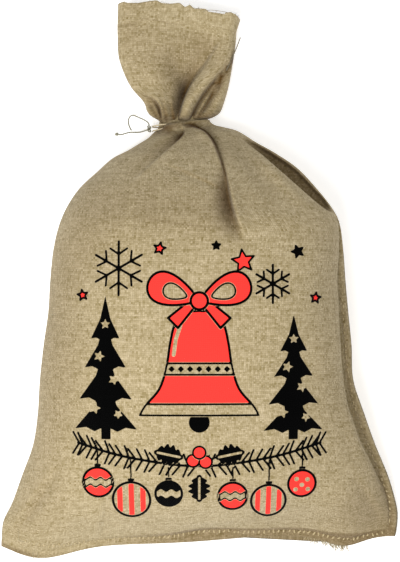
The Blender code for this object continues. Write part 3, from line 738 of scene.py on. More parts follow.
def printBaubles(ink, x, y, line):
    capHalf, capHigh, capOff = printLook["cap"]
    wavy, stripes = printLook["band"], printLook["stripes"]
    for centreX, hang, centreY, radius, fill, trim in printLook["baubles"]:
        inkOn(ink, "black", strokeDistance(x, y, ((centreX, hang), (centreX, centreY)), line * 0.7))
        cap = np.abs(y - centreY - radius - capOff) - capHigh
        lay(ink, np.maximum(np.abs(x - centreX) - capHalf, cap), "black", 0)
        ball = circleDistance(x, y, centreX, centreY, radius)
        lay(ink, ball, fill, line)
        inside = ball + line / 2
        if trim == "band":
            wave = wavy["wave"] * np.sin((x - centreX) * wavy["pace"])
            band = np.abs(y - centreY - wave) - radius * wavy["half"]
            lay(ink, np.maximum(inside, band), "bare", 0 if fill == "black" else line * 0.7)
        elif trim == "stripes":
            for step in stripes["each"]:
                stripe = np.abs(x - centreX - step * radius) - radius * stripes["half"]
                inkOn(ink, "red", np.maximum(inside, stripe))
        else:
            for dotX, dotY in printLook["dots"]:
                dotX, dotY = centreX + dotX * radius, centreY + dotY * radius
                inkOff(ink, "red", circleDistance(x, y, dotX, dotY, printLook["dotSize"] * radius))


def printHolly(ink, x, y, line):
    vein = printLook["vein"]
    leaf = leafOutline(*printLook["leafSize"])
    rib = ((vein["from"], 0), (printLook["leafSize"][0] * vein["to"], 0))
    for centreX, centreY, angle in printLook["leaves"]:
        stem = (centreX - printLook["stem"] * math.cos(math.radians(angle)), centreY)
        lay(ink, outlineDistance(x, y, turned(leaf, stem, angle)), "black", 0)
        inkOff(ink, "black", strokeDistance(x, y, turned(rib, stem, angle), vein["width"]))
    for berry in printLook["berries"]:
        lay(ink, circleDistance(x, y, *berry), "red", line * 0.8)


def printInk(x, y):
    # how deep inside the black and the red ink each plan point lies, in millimetres
    x = x - printLook["middle"][0]
    y = y - printLook["middle"][1]
    ink = {colour: np.full(len(x), 50.0) for colour in ("black", "red")}
    printTrees(ink, x, y)
    for motif in (printSky, printBough, printBaubles, printHolly, printBell, printBow):
        motif(ink, x, y, printLook["line"])
    return -ink["black"], -ink["red"]


def linear(code):
    # sRGB hex to linear colour
    values = [int(code[i:i + 2], 16) / 255 for i in (1, 3, 5)]
    return tuple(v / 12.92 if v <= 0.04045 else ((v + 0.055) / 1.055) ** 2.4 for v in values) + (1.0,)


def addNode(tree, kind, settings=None, links=None):
    # one shader node, with the settings of its sockets or its own, and what feeds its inputs
    node = tree.nodes.new("ShaderNode" + kind)
    for name, value in (settings or {}).items():
        if isinstance(name, int) or name in node.inputs:
            node.inputs[name].default_value = value
        else:
            setattr(node, name, value)
    for name, source in (links or {}).items():
        tree.links.new(source, node.inputs[name])
    return node


def newMaterial(name):
    material = bpy.data.materials.new(name)
    material.use_nodes = True
    tree = material.node_tree
    tree.nodes.clear()
    shader = addNode(tree, "BsdfPrincipled")
    addNode(tree, "OutputMaterial", None, {"Surface": shader.outputs["BSDF"]})
    return material, tree, shader


# Burlap is a plain weave of coarse jute yarn: matt, hairy, with uneven threads and open corners between
# them that look dark, partly the sack's dark inside seen through them and partly painted shade.
burlapLook = {
    "pale": "#C1B190",
    "dark": "#87774D",
    # the sack's dark inside through the open weave, and painted shade down the threads' sides
    "gap": "#4A3D28",
    "fold": "#806638",      # the colour that painted shade pulls the cloth towards, in full
    "red": "#FB3A33",
    "black": "#000000",
    "threadPitch": 2.9,     # mm; 2.2 in the real cloth, drawn coarser so that it shows at this size
    "wander": 0.75,         # how far threads stray, in threads
    "streak": (0.05, 0.62),     # thick and thin yarn runs far across the cloth, a thread or two wide
    "speck": 0.9,           # the share of crossings with no gap or dark scrap of bark in them
    "weights": (1.2, 0.75, 0.42),   # of a thread's tone, the streaks and a crossing's, beside the blotches
    "tones": (1.19, 2.11),  # their sum in the darkest and in the palest yarn
    "inkEdge": (0.05, 0.5),     # mm over which the ink sets in
    "roughness": 0.92,
    "specular": 0.05,       # jute hardly shines
    "fuzz": 0.08,           # pale hairs that catch the light where there is no ink
    "fuzzRoughness": 0.6,
    "relief": 0.5,          # mm from the gaps to the top of the threads
}


def burlapMaterial():
    look = burlapLook
    material, tree, shader = newMaterial("plain_woven_jute_burlap")
    cloth = addNode(tree, "UVMap", {"uv_map": "cloth"})
    threads = addNode(tree, "VectorMath", {"operation": "SCALE", "Scale": 1 / (look["threadPitch"] * mm)},
                      {0: cloth.outputs["UV"]})
    stray = addNode(tree, "TexNoise", {"Scale": 0.16, "Detail": 2.0, "Roughness": 0.6},
                    {"Vector": threads.outputs[0]})
    centred = addNode(tree, "VectorMath", {"operation": "SUBTRACT", 1: (0.5, 0.5, 0.5)},
                      {0: stray.outputs["Color"]})
    bent = addNode(tree, "VectorMath", {"operation": "MULTIPLY_ADD", 1: (2 * look["wander"],) * 3},
                   {0: centred.outputs[0], 2: threads.outputs[0]})
    halfTurns = addNode(tree, "VectorMath", {"operation": "SCALE", "Scale": math.pi}, {0: bent.outputs[0]})
    waves = addNode(tree, "VectorMath", {"operation": "SINE"}, {0: halfTurns.outputs[0]})
    wave = addNode(tree, "SeparateXYZ", None, {0: waves.outputs[0]})
    crossing = addNode(tree, "Math", {"operation": "MULTIPLY"}, {0: wave.outputs["X"], 1: wave.outputs["Y"]})
    warpOver = addNode(tree, "Math", {"operation": "GREATER_THAN", 1: 0.0}, {0: crossing.outputs[0]})
    rounds = addNode(tree, "VectorMath", {"operation": "ABSOLUTE"}, {0: waves.outputs[0]})
    rounded = addNode(tree, "SeparateXYZ", None, {0: rounds.outputs[0]})

    # each thread is round across itself and bows along itself, and has its own tone, which drifts
    # slowly along it as the yarn thickens and thins
    place = addNode(tree, "VectorMath", {"operation": "FLOOR"}, {0: bent.outputs[0]})
    placed = addNode(tree, "SeparateXYZ", None, {0: place.outputs[0]})
    straight = addNode(tree, "SeparateXYZ", None, {0: bent.outputs[0]})
    heights, tones = [], []
    for across, along, offset in (("X", "Y", 3.1), ("Y", "X", 47.7)):
        bow = addNode(tree, "Math", {"operation": "MULTIPLY_ADD", 1: 0.45, 2: 0.55}, {0: rounded.outputs[along]})
        profile = addNode(tree, "Math", {"operation": "POWER", 1: 0.6}, {0: rounded.outputs[across]})
        heights.append(addNode(tree, "Math", {"operation": "MULTIPLY"},
                               {0: bow.outputs[0], 1: profile.outputs[0]}).outputs[0])
        run = addNode(tree, "Math", {"operation": "MULTIPLY", 1: 0.11}, {0: straight.outputs[along]})
        thread = addNode(tree, "Math", {"operation": "MULTIPLY", 1: 1.37}, {0: placed.outputs[across]})
        spot = addNode(tree, "CombineXYZ", {"Z": offset}, {"X": thread.outputs[0], "Y": run.outputs[0]})
        tones.append(addNode(tree, "TexNoise", {"Scale": 1.0, "Detail": 2.0, "Roughness": 0.7},
                             {"Vector": spot.outputs[0]}).outputs["Fac"])
    height, tone = (addNode(tree, "Mix", {"data_type": "FLOAT"}, {0: warpOver.outputs[0], 2: weft, 3: warp})
                    for warp, weft in (heights, tones))

    # blotches of the raw fibre, from a thread or two up to a hand's width, streaks of thick yarn, and
    # the chance shade of each crossing
    blotches = addNode(tree, "TexNoise", {"Scale": 0.35, "Detail": 5.0, "Roughness": 0.72},
                       {"Vector": threads.outputs[0]})
    drawn = addNode(tree, "VectorMath", {"operation": "MULTIPLY", 1: look["streak"] + (1.0,)},
                    {0: bent.outputs[0]})
    streaks = addNode(tree, "TexNoise", {"Scale": 1.0, "Detail": 3.0, "Roughness": 0.7},
                      {"Vector": drawn.outputs[0]})
    chance = addNode(tree, "TexWhiteNoise", {"noise_dimensions": "2D"}, {"Vector": place.outputs[0]})
    mixed = blotches.outputs["Fac"]
    sources = (tone.outputs[0], streaks.outputs["Fac"], chance.outputs["Value"])
    for weight, source in zip(look["weights"], sources):
        mixed = addNode(tree, "Math", {"operation": "MULTIPLY_ADD", 1: weight}, {0: source, 2: mixed}).outputs[0]
    shade = addNode(tree, "MapRange", {"From Min": look["tones"][0], "From Max": look["tones"][1]},
                    {"Value": mixed})
    yarn = addNode(tree, "Mix", {"data_type": "RGBA", 6: linear(look["dark"]), 7: linear(look["pale"])},
                   {0: shade.outputs[0]})
    speck = addNode(tree, "MapRange", {"From Min": look["speck"], "From Max": 1.0, "To Min": 0.3, "To Max": 0.8},
                    {"Value": chance.outputs["Value"]})
    # painted shade: each thread's colour goes towards the gap colour where it rounds down into the gaps
    threadSideShade = addNode(tree, "MapRange", {"From Min": 0.0, "To Min": 0.25},
                     {"Value": height.outputs[0], "From Max": speck.outputs[0]})
    woven = addNode(tree, "Mix", {"data_type": "RGBA", 6: linear(look["gap"])},
                    {0: threadSideShade.outputs[0], 7: yarn.outputs[2]})

    # painted shade from the shade attribute: in folds, slits and ledges, along seams and gathers, and in broad
    # patches
    folds = addNode(tree, "Attribute", {"attribute_name": "shade"})
    shaded = addNode(tree, "Mix", {"data_type": "RGBA", "blend_type": "MULTIPLY", 7: linear(look["fold"])},
                     {0: folds.outputs["Fac"], 6: woven.outputs[2]})

    # the ink, from how deep in mm each point lies inside it, and the fuzz where there is none
    colour, fuzz = shaded.outputs[2], None
    edge = {"From Min": look["inkEdge"][0], "From Max": look["inkEdge"][1]}
    for ink in ("red", "black"):
        depth = addNode(tree, "Attribute", {"attribute_name": ink + "Ink"})
        inked = addNode(tree, "MapRange", edge, {"Value": depth.outputs["Fac"]})
        layer = addNode(tree, "Mix", {"data_type": "RGBA", 7: linear(look[ink])}, {0: inked.outputs[0], 6: colour})
        colour = layer.outputs[2]
        bare = addNode(tree, "MapRange", {**edge, "To Min": look["fuzz"], "To Max": 0.0},
                       {"Value": depth.outputs["Fac"]})
        if fuzz:
            fuzz = addNode(tree, "Math", {"operation": "MINIMUM"}, {0: fuzz.outputs[0], 1: bare.outputs[0]})
        else:
            fuzz = bare
    tree.links.new(colour, shader.inputs["Base Color"])
    tree.links.new(fuzz.outputs[0], shader.inputs["Sheen Weight"])

    hairs = addNode(tree, "TexNoise", {"Scale": 3.0, "Detail": 3.0}, {"Vector": threads.outputs[0]})
    surface = addNode(tree, "Math", {"operation": "MULTIPLY_ADD", 1: 0.35},
                      {0: hairs.outputs["Fac"], 2: height.outputs[0]})
    bump = addNode(tree, "Bump", {"Strength": 0.7, "Distance": look["relief"] * mm},
                   {"Height": surface.outputs[0]})
    tree.links.new(bump.outputs["Normal"], shader.inputs["Normal"])
    shader.inputs["Roughness"].default_value = look["roughness"]
    shader.inputs["Specular IOR Level"].default_value = look["specular"]
    shader.inputs["Sheen Roughness"].default_value = look["fuzzRoughness"]
    return material


# Fibrous jute, whose tone changes over a grain of a millimetre or two, as noise cells to a metre.
# Jute twine: two plies of long pale fibre twisted together, matt with a faint silkiness
twineLook = {"pale": "#A3A08C", "dark": "#6B6857", "roughness": 0.8, "grain": 700.0}
# The same twine where it lies in the neck and has kept its first pale tone
freshLook = {"pale": "#E2D6B8", "dark": "#A99872", "roughness": 0.8, "grain": 700.0}
# Sewing thread of the seams: paler, tighter jute
stitchLook = {"pale": "#BFAF8B", "dark": "#94825C", "roughness": 0.85, "grain": 500.0}
# Frayed jute: loose single fibres pulled from the cloth's edge
frayedLook = {"pale": "#B9AC8C", "dark": "#82755A", "roughness": 0.9, "grain": 400.0}
# A thick jute thread, made dark to paint the shadowed edge of the ruff's layer behind as well as a loose thread
edgeShadeThreadLook = {"pale": "#8A826D", "dark": "#544E3D", "roughness": 0.85, "grain": 500.0}
# What they share: how far the tone swings, a faint shine, and the height of single fibres in mm
fibreGrain = {"swing": (0.35, 0.65), "specular": 0.25, "relief": 0.2}


def fibreMaterial(name, look):
    material, tree, shader = newMaterial(name)
    place = addNode(tree, "TexCoord")
    grain = addNode(tree, "TexNoise", {"Scale": look["grain"], "Detail": 4.0, "Roughness": 0.7},
                    {"Vector": place.outputs["Object"]})
    shade = addNode(tree, "MapRange", {"From Min": fibreGrain["swing"][0], "From Max": fibreGrain["swing"][1]},
                    {"Value": grain.outputs["Fac"]})
    yarn = addNode(tree, "Mix", {"data_type": "RGBA", 6: linear(look["dark"]), 7: linear(look["pale"])},
                   {0: shade.outputs[0]})
    bump = addNode(tree, "Bump", {"Strength": 0.5, "Distance": fibreGrain["relief"] * mm},
                   {"Height": grain.outputs["Fac"]})
    tree.links.new(yarn.outputs[2], shader.inputs["Base Color"])
    tree.links.new(bump.outputs["Normal"], shader.inputs["Normal"])
    shader.inputs["Roughness"].default_value = look["roughness"]
    shader.inputs["Specular IOR Level"].default_value = fibreGrain["specular"]
    return material


burlap = burlapMaterial()
twine = fibreMaterial("twisted_jute_twine", twineLook)
freshTwine = fibreMaterial("unweathered_jute_twine", freshLook)
stitching = fibreMaterial("jute_sewing_thread", stitchLook)
fibre = fibreMaterial("frayed_jute_fibre", frayedLook)
# its dark colour is painted shadow along the ruff's right edge
edgeShadeJute = fibreMaterial("jute_thread_dark_as_edge_shade", edgeShadeThreadLook)
print("materials are made")


# Vertices that lie this close are joined, in millimetres
weld = {"cloth": 0.02, "thread": 0.004}


def gridOver(bm, points):
    # a grid whose vertices lie on rows of plan points
    rowCount, columnCount = points.shape[:2]
    made = bmesh.ops.create_grid(bm, x_segments=columnCount - 1, y_segments=rowCount - 1, size=1)["verts"]
    for vert, place in zip(made, toFrame(points.reshape(-1, 3)).tolist()):
        vert.co = place
    return made


def clothPiece(name, points, cloth, looks):
    # cloth on a grid; its first and last columns meet, and faces close its first and last rows
    bm = bmesh.new()
    gridOver(bm, points)
    bm.verts.index_update()
    uvLayer = bm.loops.layers.uv.new("cloth")
    flat = (cloth.reshape(-1, 2) * mm).tolist()
    for face in bm.faces:
        for loop in face.loops:
            loop[uvLayer].uv = flat[loop.vert.index]
    for lookName, values in looks.items():
        layer = bm.verts.layers.float.new(lookName)
        for vert, value in zip(bm.verts, values.reshape(-1).tolist()):
            vert[layer] = value
    bmesh.ops.remove_doubles(bm, verts=bm.verts, dist=weld["cloth"] * mm)
    ends = bmesh.ops.holes_fill(bm, edges=[edge for edge in bm.edges if edge.is_boundary], sides=0)["faces"]
    bmesh.ops.triangulate(bm, faces=ends)
    bmesh.ops.recalc_face_normals(bm, faces=bm.faces)
    if bm.calc_volume(signed=True) < 0:
        bmesh.ops.reverse_faces(bm, faces=bm.faces)
    return meshPiece(name, bm, burlap)


def meshPiece(name, bm, material):
    # the finished piece, on the sack's only body
    mesh = bpy.data.meshes.new(name)
    bm.to_mesh(mesh)
    bm.free()
    mesh.shade_smooth()
    mesh.materials.append(material)
    piece = bpy.data.objects.new(name, mesh)
    bpy.context.scene.collection.objects.link(piece)
    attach(piece, "root")
    return piece


def girth(points, middleColumn):
    # distance along each row from its middle column, and along the middle column from the first row
    steps = np.linalg.norm(np.diff(points, axis=1), axis=2)
    around = np.concatenate((np.zeros((len(points), 1)), np.cumsum(steps, axis=1)), axis=1)
    around -= around[:, middleColumn:middleColumn + 1]
    along = travel(points[:, middleColumn])
    return np.stack((around, np.broadcast_to(along[:, None], around.shape)), -1)


def makeBody():
    across, face, out = bodyColumns()
    points, shade = bodyPoints(evenPlaces(), across, face, out)
    cloth = girth(points, sackBody["frontColumns"] // 2)
    x, y, _ = points.reshape(-1, 3).T
    printed = np.broadcast_to((face > 0) & (out == 0), points.shape[:2]).reshape(-1)
    printed = printed & (y > printLook["from"]) & (y < printLook["to"])
    black, red = np.full((2, len(x)), printLook["unprinted"])
    black[printed], red[printed] = printInk(x[printed], y[printed])
    looks = {"blackInk": black, "redInk": red, "shade": shade}
    body = clothPiece("sackBody", points, cloth, looks)
    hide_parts("sack")
    return body


sackBodyPiece = makeBody()
print("body is made:", len(sackBodyPiece.data.polygons), "faces")

# The flat mouth is folded like a letter: its middle in front, its two sides turned in behind.
# Rows run from inside the neck to the mouth, in millimetres.
ruff = {
    # leftX, leftY, rightX, rightY, frontZ, secondZ, thirdZ, hem, gap, bulge
    "rows": (
        (-57, 231, 1, 231, 33, 27, 20, 0, 0.6, 0),
        (-61, 238, 7, 239, 43, 27, 15, 0, 0.6, 0),
        (-73, 245, 20, 243.5, 48, 28, 11, 0, 0.8, 0),
        (-79, 253, 30, 251, 49, 28, 9.0, 0, 1.0, 0),
        (-84, 266, 36, 266, 48, 28, 7.0, 0, 1.2, 0),
        (-104.5, 291, 43, 291, 46, 27, 5.5, 0, 1.6, 1),
        (-120, 329, 49, 325, 45, 26, 5.0, 0, 2.0, 4),
        (-122.4, 362, 53, 352, 44, 25, 5.0, 0, 2.2, 8),
        (-122.8, 380, 54, 366, 44, 24, 5.0, 0, 2.4, 10),
        (-122.6, 383, 54.5, 368, 44, 24, 5.0, 1, 2.4, 10),
        (-122, 411, 60, 387, 43, 23, 5.0, 1, 2.6, 12),
    ),
    "cloth": 1.3,           # thickness, with its hairs
    "hemCloth": 2.2,
    "frontColumns": 88,
    "armColumns": 34,
    "turnColumns": 8,
    "outerRows": 84,
    "rimRows": 3,
    "innerRows": 40,
    "slitFrom": 4.0,        # the row from which the mouth is open between its two layers
    "armShort": 4.0,        # how far the arms behind stop short of the turns
    "ripple": 3.0,          # how far they wave
    "stiffHeight": 40.0,    # folds have their full height from here up
    "lowest": 1.2,
    "hemLine": {"fade": (371, 379), "arch": 12, "middle": 33, "half": 92, "slope": 0.13, "left": 122},
    "rimRise": 0.5,
    "mouthFrom": 7.5,       # the row from which the edge strays
    "behind": {"z": 30, "x": 36, "stray": 0.3},     # lower and nearer the middle, it strays up less
    "mouth": (              # x, y that the mouth's edge strays
        (-124, 0.6), (-116, 1.0), (-112, 1.8), (-108, -1.0), (-92, -2.6), (-64, 1.2), (-57, -2.6), (-44, -2.6),
        (-30, 0.5), (-22, -4.5), (-15, 0.5), (-9, -4.0), (8, -1.0), (13, -4.2), (36, -1.2), (40, 5.0),
        (49, 5.0), (55, 4.0), (61, 1.0),
    ),
}

# Folds of the ruff with the painted shade in their hollows, and its painted shadows, in the columns of the body's
ruffFolds = (
    # broad left lobe
    {"edge": 5, "rows": (
        (-54, 236, 3, 20, 3, 18, 0), (-57, 246, 9, 22, 9, 19, 0), (-62, 270, 14, 26, 14, 22, 0),
        (-70, 310, 15, 30), (-70, 350, 12, 40, 12, 44, 0), (-60, 425, 10, 60),
    )},
    # straight band that crosses to the right
    {"edge": 5, "rows": (
        (-23, 235, 4, 9, 4, 8, 0), (-21, 246, 12, 9, 12, 7, 0), (-13, 268, 17, 10, 17, 8, 0),
        (9, 298, 16, 12, 16, 10, 0), (34, 335, 11, 20, 11, 14, 0), (40, 405, 8, 40, 8, 24, 0),
    )},
    # outer right lobe
    {"edge": 4, "rows": (
        (10, 236, 0, 6), (15, 247, 8, 6), (26, 266, 13, 7), (41, 298, 13, 8, 13, 7, 0), (49, 332, 10, 8),
        (54, 400, 7, 9),
    )},
    # the deep fold: it sinks beside the band's left edge
    {"edge": 2.2, "dark": 0.64, "rows": (
        (-33, 238, -4, 6, 3, 6, 2), (-30, 250, -14, 8, 4, 7, 3), (-26, 264, -27, 10, 5, 8, 1),
        (-18, 284, -32, 12, 5, 9, 0), (-7, 302, -22, 16, 4, 12, 0), (6, 319, -10, 22, 2, 14, 0),
        (20, 340, -4, 26, 1, 16, 0), (34, 362, 0, 26, 0, 16, 0),
    )},
    # soft branch of it to the left
    {"edge": 6, "rows": ((-24, 284, -4, 10), (-29, 306, -7, 14), (-34, 330, -4, 18), (-38, 354, 0, 18))},
    # dark line down the band's right edge
    {"edge": 1.5, "dark": 0.8, "rows": (
        (-15, 238, 2, 6, -5, 5, 3), (-10, 250, 3, 6, -8, 5, 4), (-4, 262, 3, 7, -9, 5, 4),
        (5, 276, 4, 8, -10, 5, 4), (16, 290, 4, 9, -11, 6, 4), (27, 303, 4, 9, -12, 6, 4),
        (38, 315, 3, 8, -12, 6, 4), (47, 328, 2, 7, -6, 5, 3), (54, 342, 0, 6, 0, 5, 0),
    )},
    # valley inside the outer lobe, with a narrow gather on its left
    {"edge": 2, "dark": 0.5, "rows": (
        (-3, 243, 0, 4, -3, 4, 1), (4, 255, -2, 4, -7, 5, 2), (12, 268, -3, 4, -10, 6, 2),
        (19, 281, -4, 4, -12, 7, 2), (28, 295, -4, 4, -11, 7, 2), (38, 308, -3, 4, -6, 5, 1),
        (45, 319, 0, 4, 0, 5, 0),
    )},
    # pleat at the left, where the front layer ends over the next
    {"edge": 1.6, "dark": 0.7, "rows": (
        (-57, 236, -4, 6, 3, 5, 3), (-58, 248, -11, 8, 3, 6, 4), (-61, 259, -14, 10, 4, 7, 4),
        (-68, 268, -13, 12, 4, 8, 2), (-79, 274, -9, 12, 3, 8, 1), (-94, 281, 0, 10, 0, 8, 0),
    )},
    # crease in that pleat
    {"edge": 1.8, "rows": (
        (-63, 238, 0, 4), (-67, 247, 2, 4, -5, 3, 3), (-73, 257, 2, 5, -4, 4, 2), (-81, 266, 0, 5, 0, 4, 0),
    )},
    # fine gathers of the left lobe
    {"edge": 3, "rows": (
        (-49, 238, -2, 4, 1, 4, 1), (-52, 254, -1.5, 5, 1, 5, 0.5), (-56, 276, -0.5, 8, 0.5, 8, 0),
        (-60, 300, 0, 10),
    )},
    {"edge": 3, "rows": (
        (-40, 238, -3, 4, 1, 4, 2), (-42, 254, -2, 5, 1, 5, 1), (-44, 272, -0.5, 7, 0.5, 7, 0),
        (-45, 296, 0, 9),
    )},
)

ruffShadows = (
    # painted shade where the gathers close in at the neck
    {"rows": (
        (-66, 238, 16, 12, 0.26), (-45, 240, 18, 12, 0.34), (-25, 238, 14, 12, 0.30), (0, 238, 12, 0.28),
        (24, 242, 10, 12, 0.30), (34, 250, 6, 12, 0.2),
    )},
    # painted shade along four of them, up the ruff
    {"rows": ((-38, 240, 3, 0.35), (-41, 262, 3.5, 0.22), (-45, 292, 5, 0.0))},
    {"rows": ((-50, 240, 3, 0.30), (-54, 262, 3.5, 0.18), (-60, 290, 5, 0.0))},
    {"rows": ((-2, 242, 2.5, 0.30), (8, 256, 3, 0.16), (16, 268, 3, 0.0))},
    {"rows": ((4, 240, 2.5, 0.30), (18, 252, 3, 0.22), (32, 272, 3, 0.0))},
    # broad shade above the deep fold
    {"rows": ((-60, 352, 26, 0.0), (-52, 330, 26, 0.12), (-40, 305, 20, 0.16), (-32, 280, 16, 0.1))},
    # painted shade where the band widens
    {"rows": ((10, 345, 22, 0.14), (22, 332, 22, 0.10))},
    # painted shade along the line of the hem's inner edge
    {"rows": (
        (-122, 379, 1.8, 0.10), (-112, 379, 1.8, 0.24), (-99, 380, 1.8, 0.24), (-92, 383, 1.8, 0.04),
        (-84, 387, 1.8, 0.18), (-70, 386, 1.8, 0.10), (-55, 383.5, 1.8, 0.20), (-42, 380, 1.8, 0.16),
        (-25, 378, 1.8, 0.0),
    )},
    # broad painted shade on the left lobe's outer side, and in its middle
    {"rows": ((-100, 420, 40, 0.16), (-96, 370, 36, 0.14), (-80, 310, 30, 0.08))},
    {"rows": ((-30, 345, 24, 0.10), (-10, 352, 24, 0.10))},
    # painted shade over the narrow gather
    {"rows": ((-8, 244, 4, 5, 0.24), (3, 266, 4, 5, 0.24), (16, 285, 5, 0.24), (30, 303, 5, 0.1))},
    # painted shade in the valley beside the band, up to the ruff's right edge
    {"rows": (
        (6, 256, 1.5, 4, 0.2), (16, 273, 1.5, 6, 0.45), (24, 289, 1.5, 7, 0.55), (30, 300, 1.5, 6, 0.5),
        (37, 311, 1.5, 4, 0.5), (45, 322, 1.5, 3, 0.5), (50, 334, 2, 4, 0.6), (54, 348, 2, 5, 0.3),
        (55, 356, 2, 5, 0),
    )},
)


def clothWall(row):
    # the cloth's thickness, from single to the hem's
    return ruff["cloth"] + (ruff["hemCloth"] - ruff["cloth"]) * row[7]


def stripMiddle(row, ripple):
    # middle line of the folded mouth across its row, as (x, z) points
    leftX, _, rightX, _, frontZ, secondZ, thirdZ, _, gap, _ = row
    half = clothWall(row) + gap / 2
    leftTurn, rightTurn = (frontZ - secondZ) / 2, (frontZ - thirdZ) / 2
    leftX, rightX = leftX + half + leftTurn, rightX - half - rightTurn
    share = np.arange(ruff["armColumns"] + 1) / ruff["armColumns"]
    inner = rightX - ruff["armShort"]
    outer = leftX + ruff["armShort"]
    turn = np.arange(ruff["turnColumns"]) / ruff["turnColumns"]
    second = np.stack((inner + (leftX - inner) * share,
                       secondZ + ripple * np.sin(2 * math.pi * share) * (1 - share)), -1)[:-1]
    turns = ((leftX, leftTurn, math.pi * (1.5 - turn)), (rightX, rightTurn, math.pi * (0.5 - turn)))
    leftEdge, rightEdge = (np.stack((x + radius * np.cos(angle), frontZ - radius + radius * np.sin(angle)), -1)
                           for x, radius, angle in turns)
    run = np.arange(ruff["frontColumns"]) / ruff["frontColumns"]
    front = np.stack((leftX + (rightX - leftX) * run, np.full(len(run), frontZ)), -1)
    third = np.stack((rightX + (outer - rightX) * share,
                      thirdZ + ripple * (1 - np.cos(2 * math.pi * share)) / 2), -1)
    return np.concatenate((second, leftEdge, front, rightEdge, third))


def ruffRing(place, half, inset):
    # both sides of the folded strip, half its thickness either side of its middle line
    row = rowsAt(ruff["rows"], place)[0]
    last = len(ruff["rows"]) - 1
    middle = stripMiddle(row, ruff["ripple"] * float(smooth(ruff["slitFrom"], last, place)))
    middle[0] += (middle[1] - middle[0]) / np.linalg.norm(middle[1] - middle[0]) * inset
    middle[-1] += (middle[-2] - middle[-1]) / np.linalg.norm(middle[-2] - middle[-1]) * inset
    tangent = np.gradient(middle, axis=0)
    normal = np.stack((-tangent[:, 1], tangent[:, 0]), -1)
    normal /= np.linalg.norm(normal, axis=1)[:, None]
    ring = np.concatenate((middle + normal * half, (middle - normal * half)[::-1], (middle + normal * half)[:1]))
    x, z = ring.T
    share = (x - row[0]) / (row[2] - row[0])
    y = row[1] + (row[3] - row[1]) * share + row[9] * (1 - np.minimum(1, (2 * share - 1) ** 2))

    # the mouth's uneven edge, which strays less in the layers behind
    mouthX, mouthY = np.array(ruff["mouth"]).T
    stray = np.interp(x, mouthX, mouthY)
    behind = ruff["behind"]
    seen = np.where((z > behind["z"]) | (np.abs(x) > behind["x"]) | (stray < 0), 1, behind["stray"])
    y = y + stray * float(smooth(ruff["mouthFrom"], last, place)) * seen
    free = float(smooth(0, 2, place)) * np.minimum(1, z / ruff["stiffHeight"])
    relief, shade = foldRelief(ruffFolds, x, y)

    # the hem is doubled and is left lighter than the rest
    hem = ruff["hemLine"]
    arch = hem["arch"] * (1 - ((x + hem["middle"]) / hem["half"]) ** 2)
    dimmerThanHem = sackBody["dimmerThanHem"] * (1 - smooth(*hem["fade"], y - arch + hem["slope"] * (x + hem["left"])))
    shade = np.clip(shade + dimmerThanHem + darkAlong(ruffShadows, x, y), 0, 1)
    return np.stack((x, y, np.maximum(z + free * relief, ruff["lowest"]), shade), -1)


def ruffWall(place):
    # the cloth's thickness and the gap between its layers
    row = rowsAt(ruff["rows"], place)[0]
    return clothWall(row), row[8]


def makeRuff():
    # rings that go up the outside, over the rim and down between the layers
    last = len(ruff["rows"]) - 1
    rings = [ruffRing(0.0, 0.0, 0.0)]
    for place in np.linspace(0.05, last, ruff["outerRows"]):
        wall, gap = ruffWall(place)
        rings.append(ruffRing(place, wall + gap / 2, 0))
    wall, gap = ruffWall(last)
    for step in range(1, ruff["rimRows"]):
        share = step / ruff["rimRows"]
        rim = ruffRing(last, wall * (1 - share) + gap / 2, wall * share)
        rim[:, 1] += ruff["rimRise"] * math.sin(math.pi * share)
        rings.append(rim)
    for place in np.linspace(last, ruff["slitFrom"], ruff["innerRows"]):
        wall, gap = ruffWall(place)
        rings.append(ruffRing(place, gap / 2, wall))
    rings.append(ruffRing(ruff["slitFrom"] - 0.1, 0.0, ruffWall(ruff["slitFrom"])[0]))
    points, shade = np.array(rings)[..., :3], np.array(rings)[..., 3]
    cloth = girth(points, ruff["armColumns"] + ruff["turnColumns"] + ruff["frontColumns"] // 2)
    noInk = np.full(shade.shape, printLook["unprinted"])
    piece = clothPiece("sackRuff", points, cloth, {"blackInk": noInk, "redInk": noInk, "shade": shade})
    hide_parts("sack")
    return piece


ruffPiece = makeRuff()
print("ruff is made:", len(ruffPiece.data.polygons), "faces")

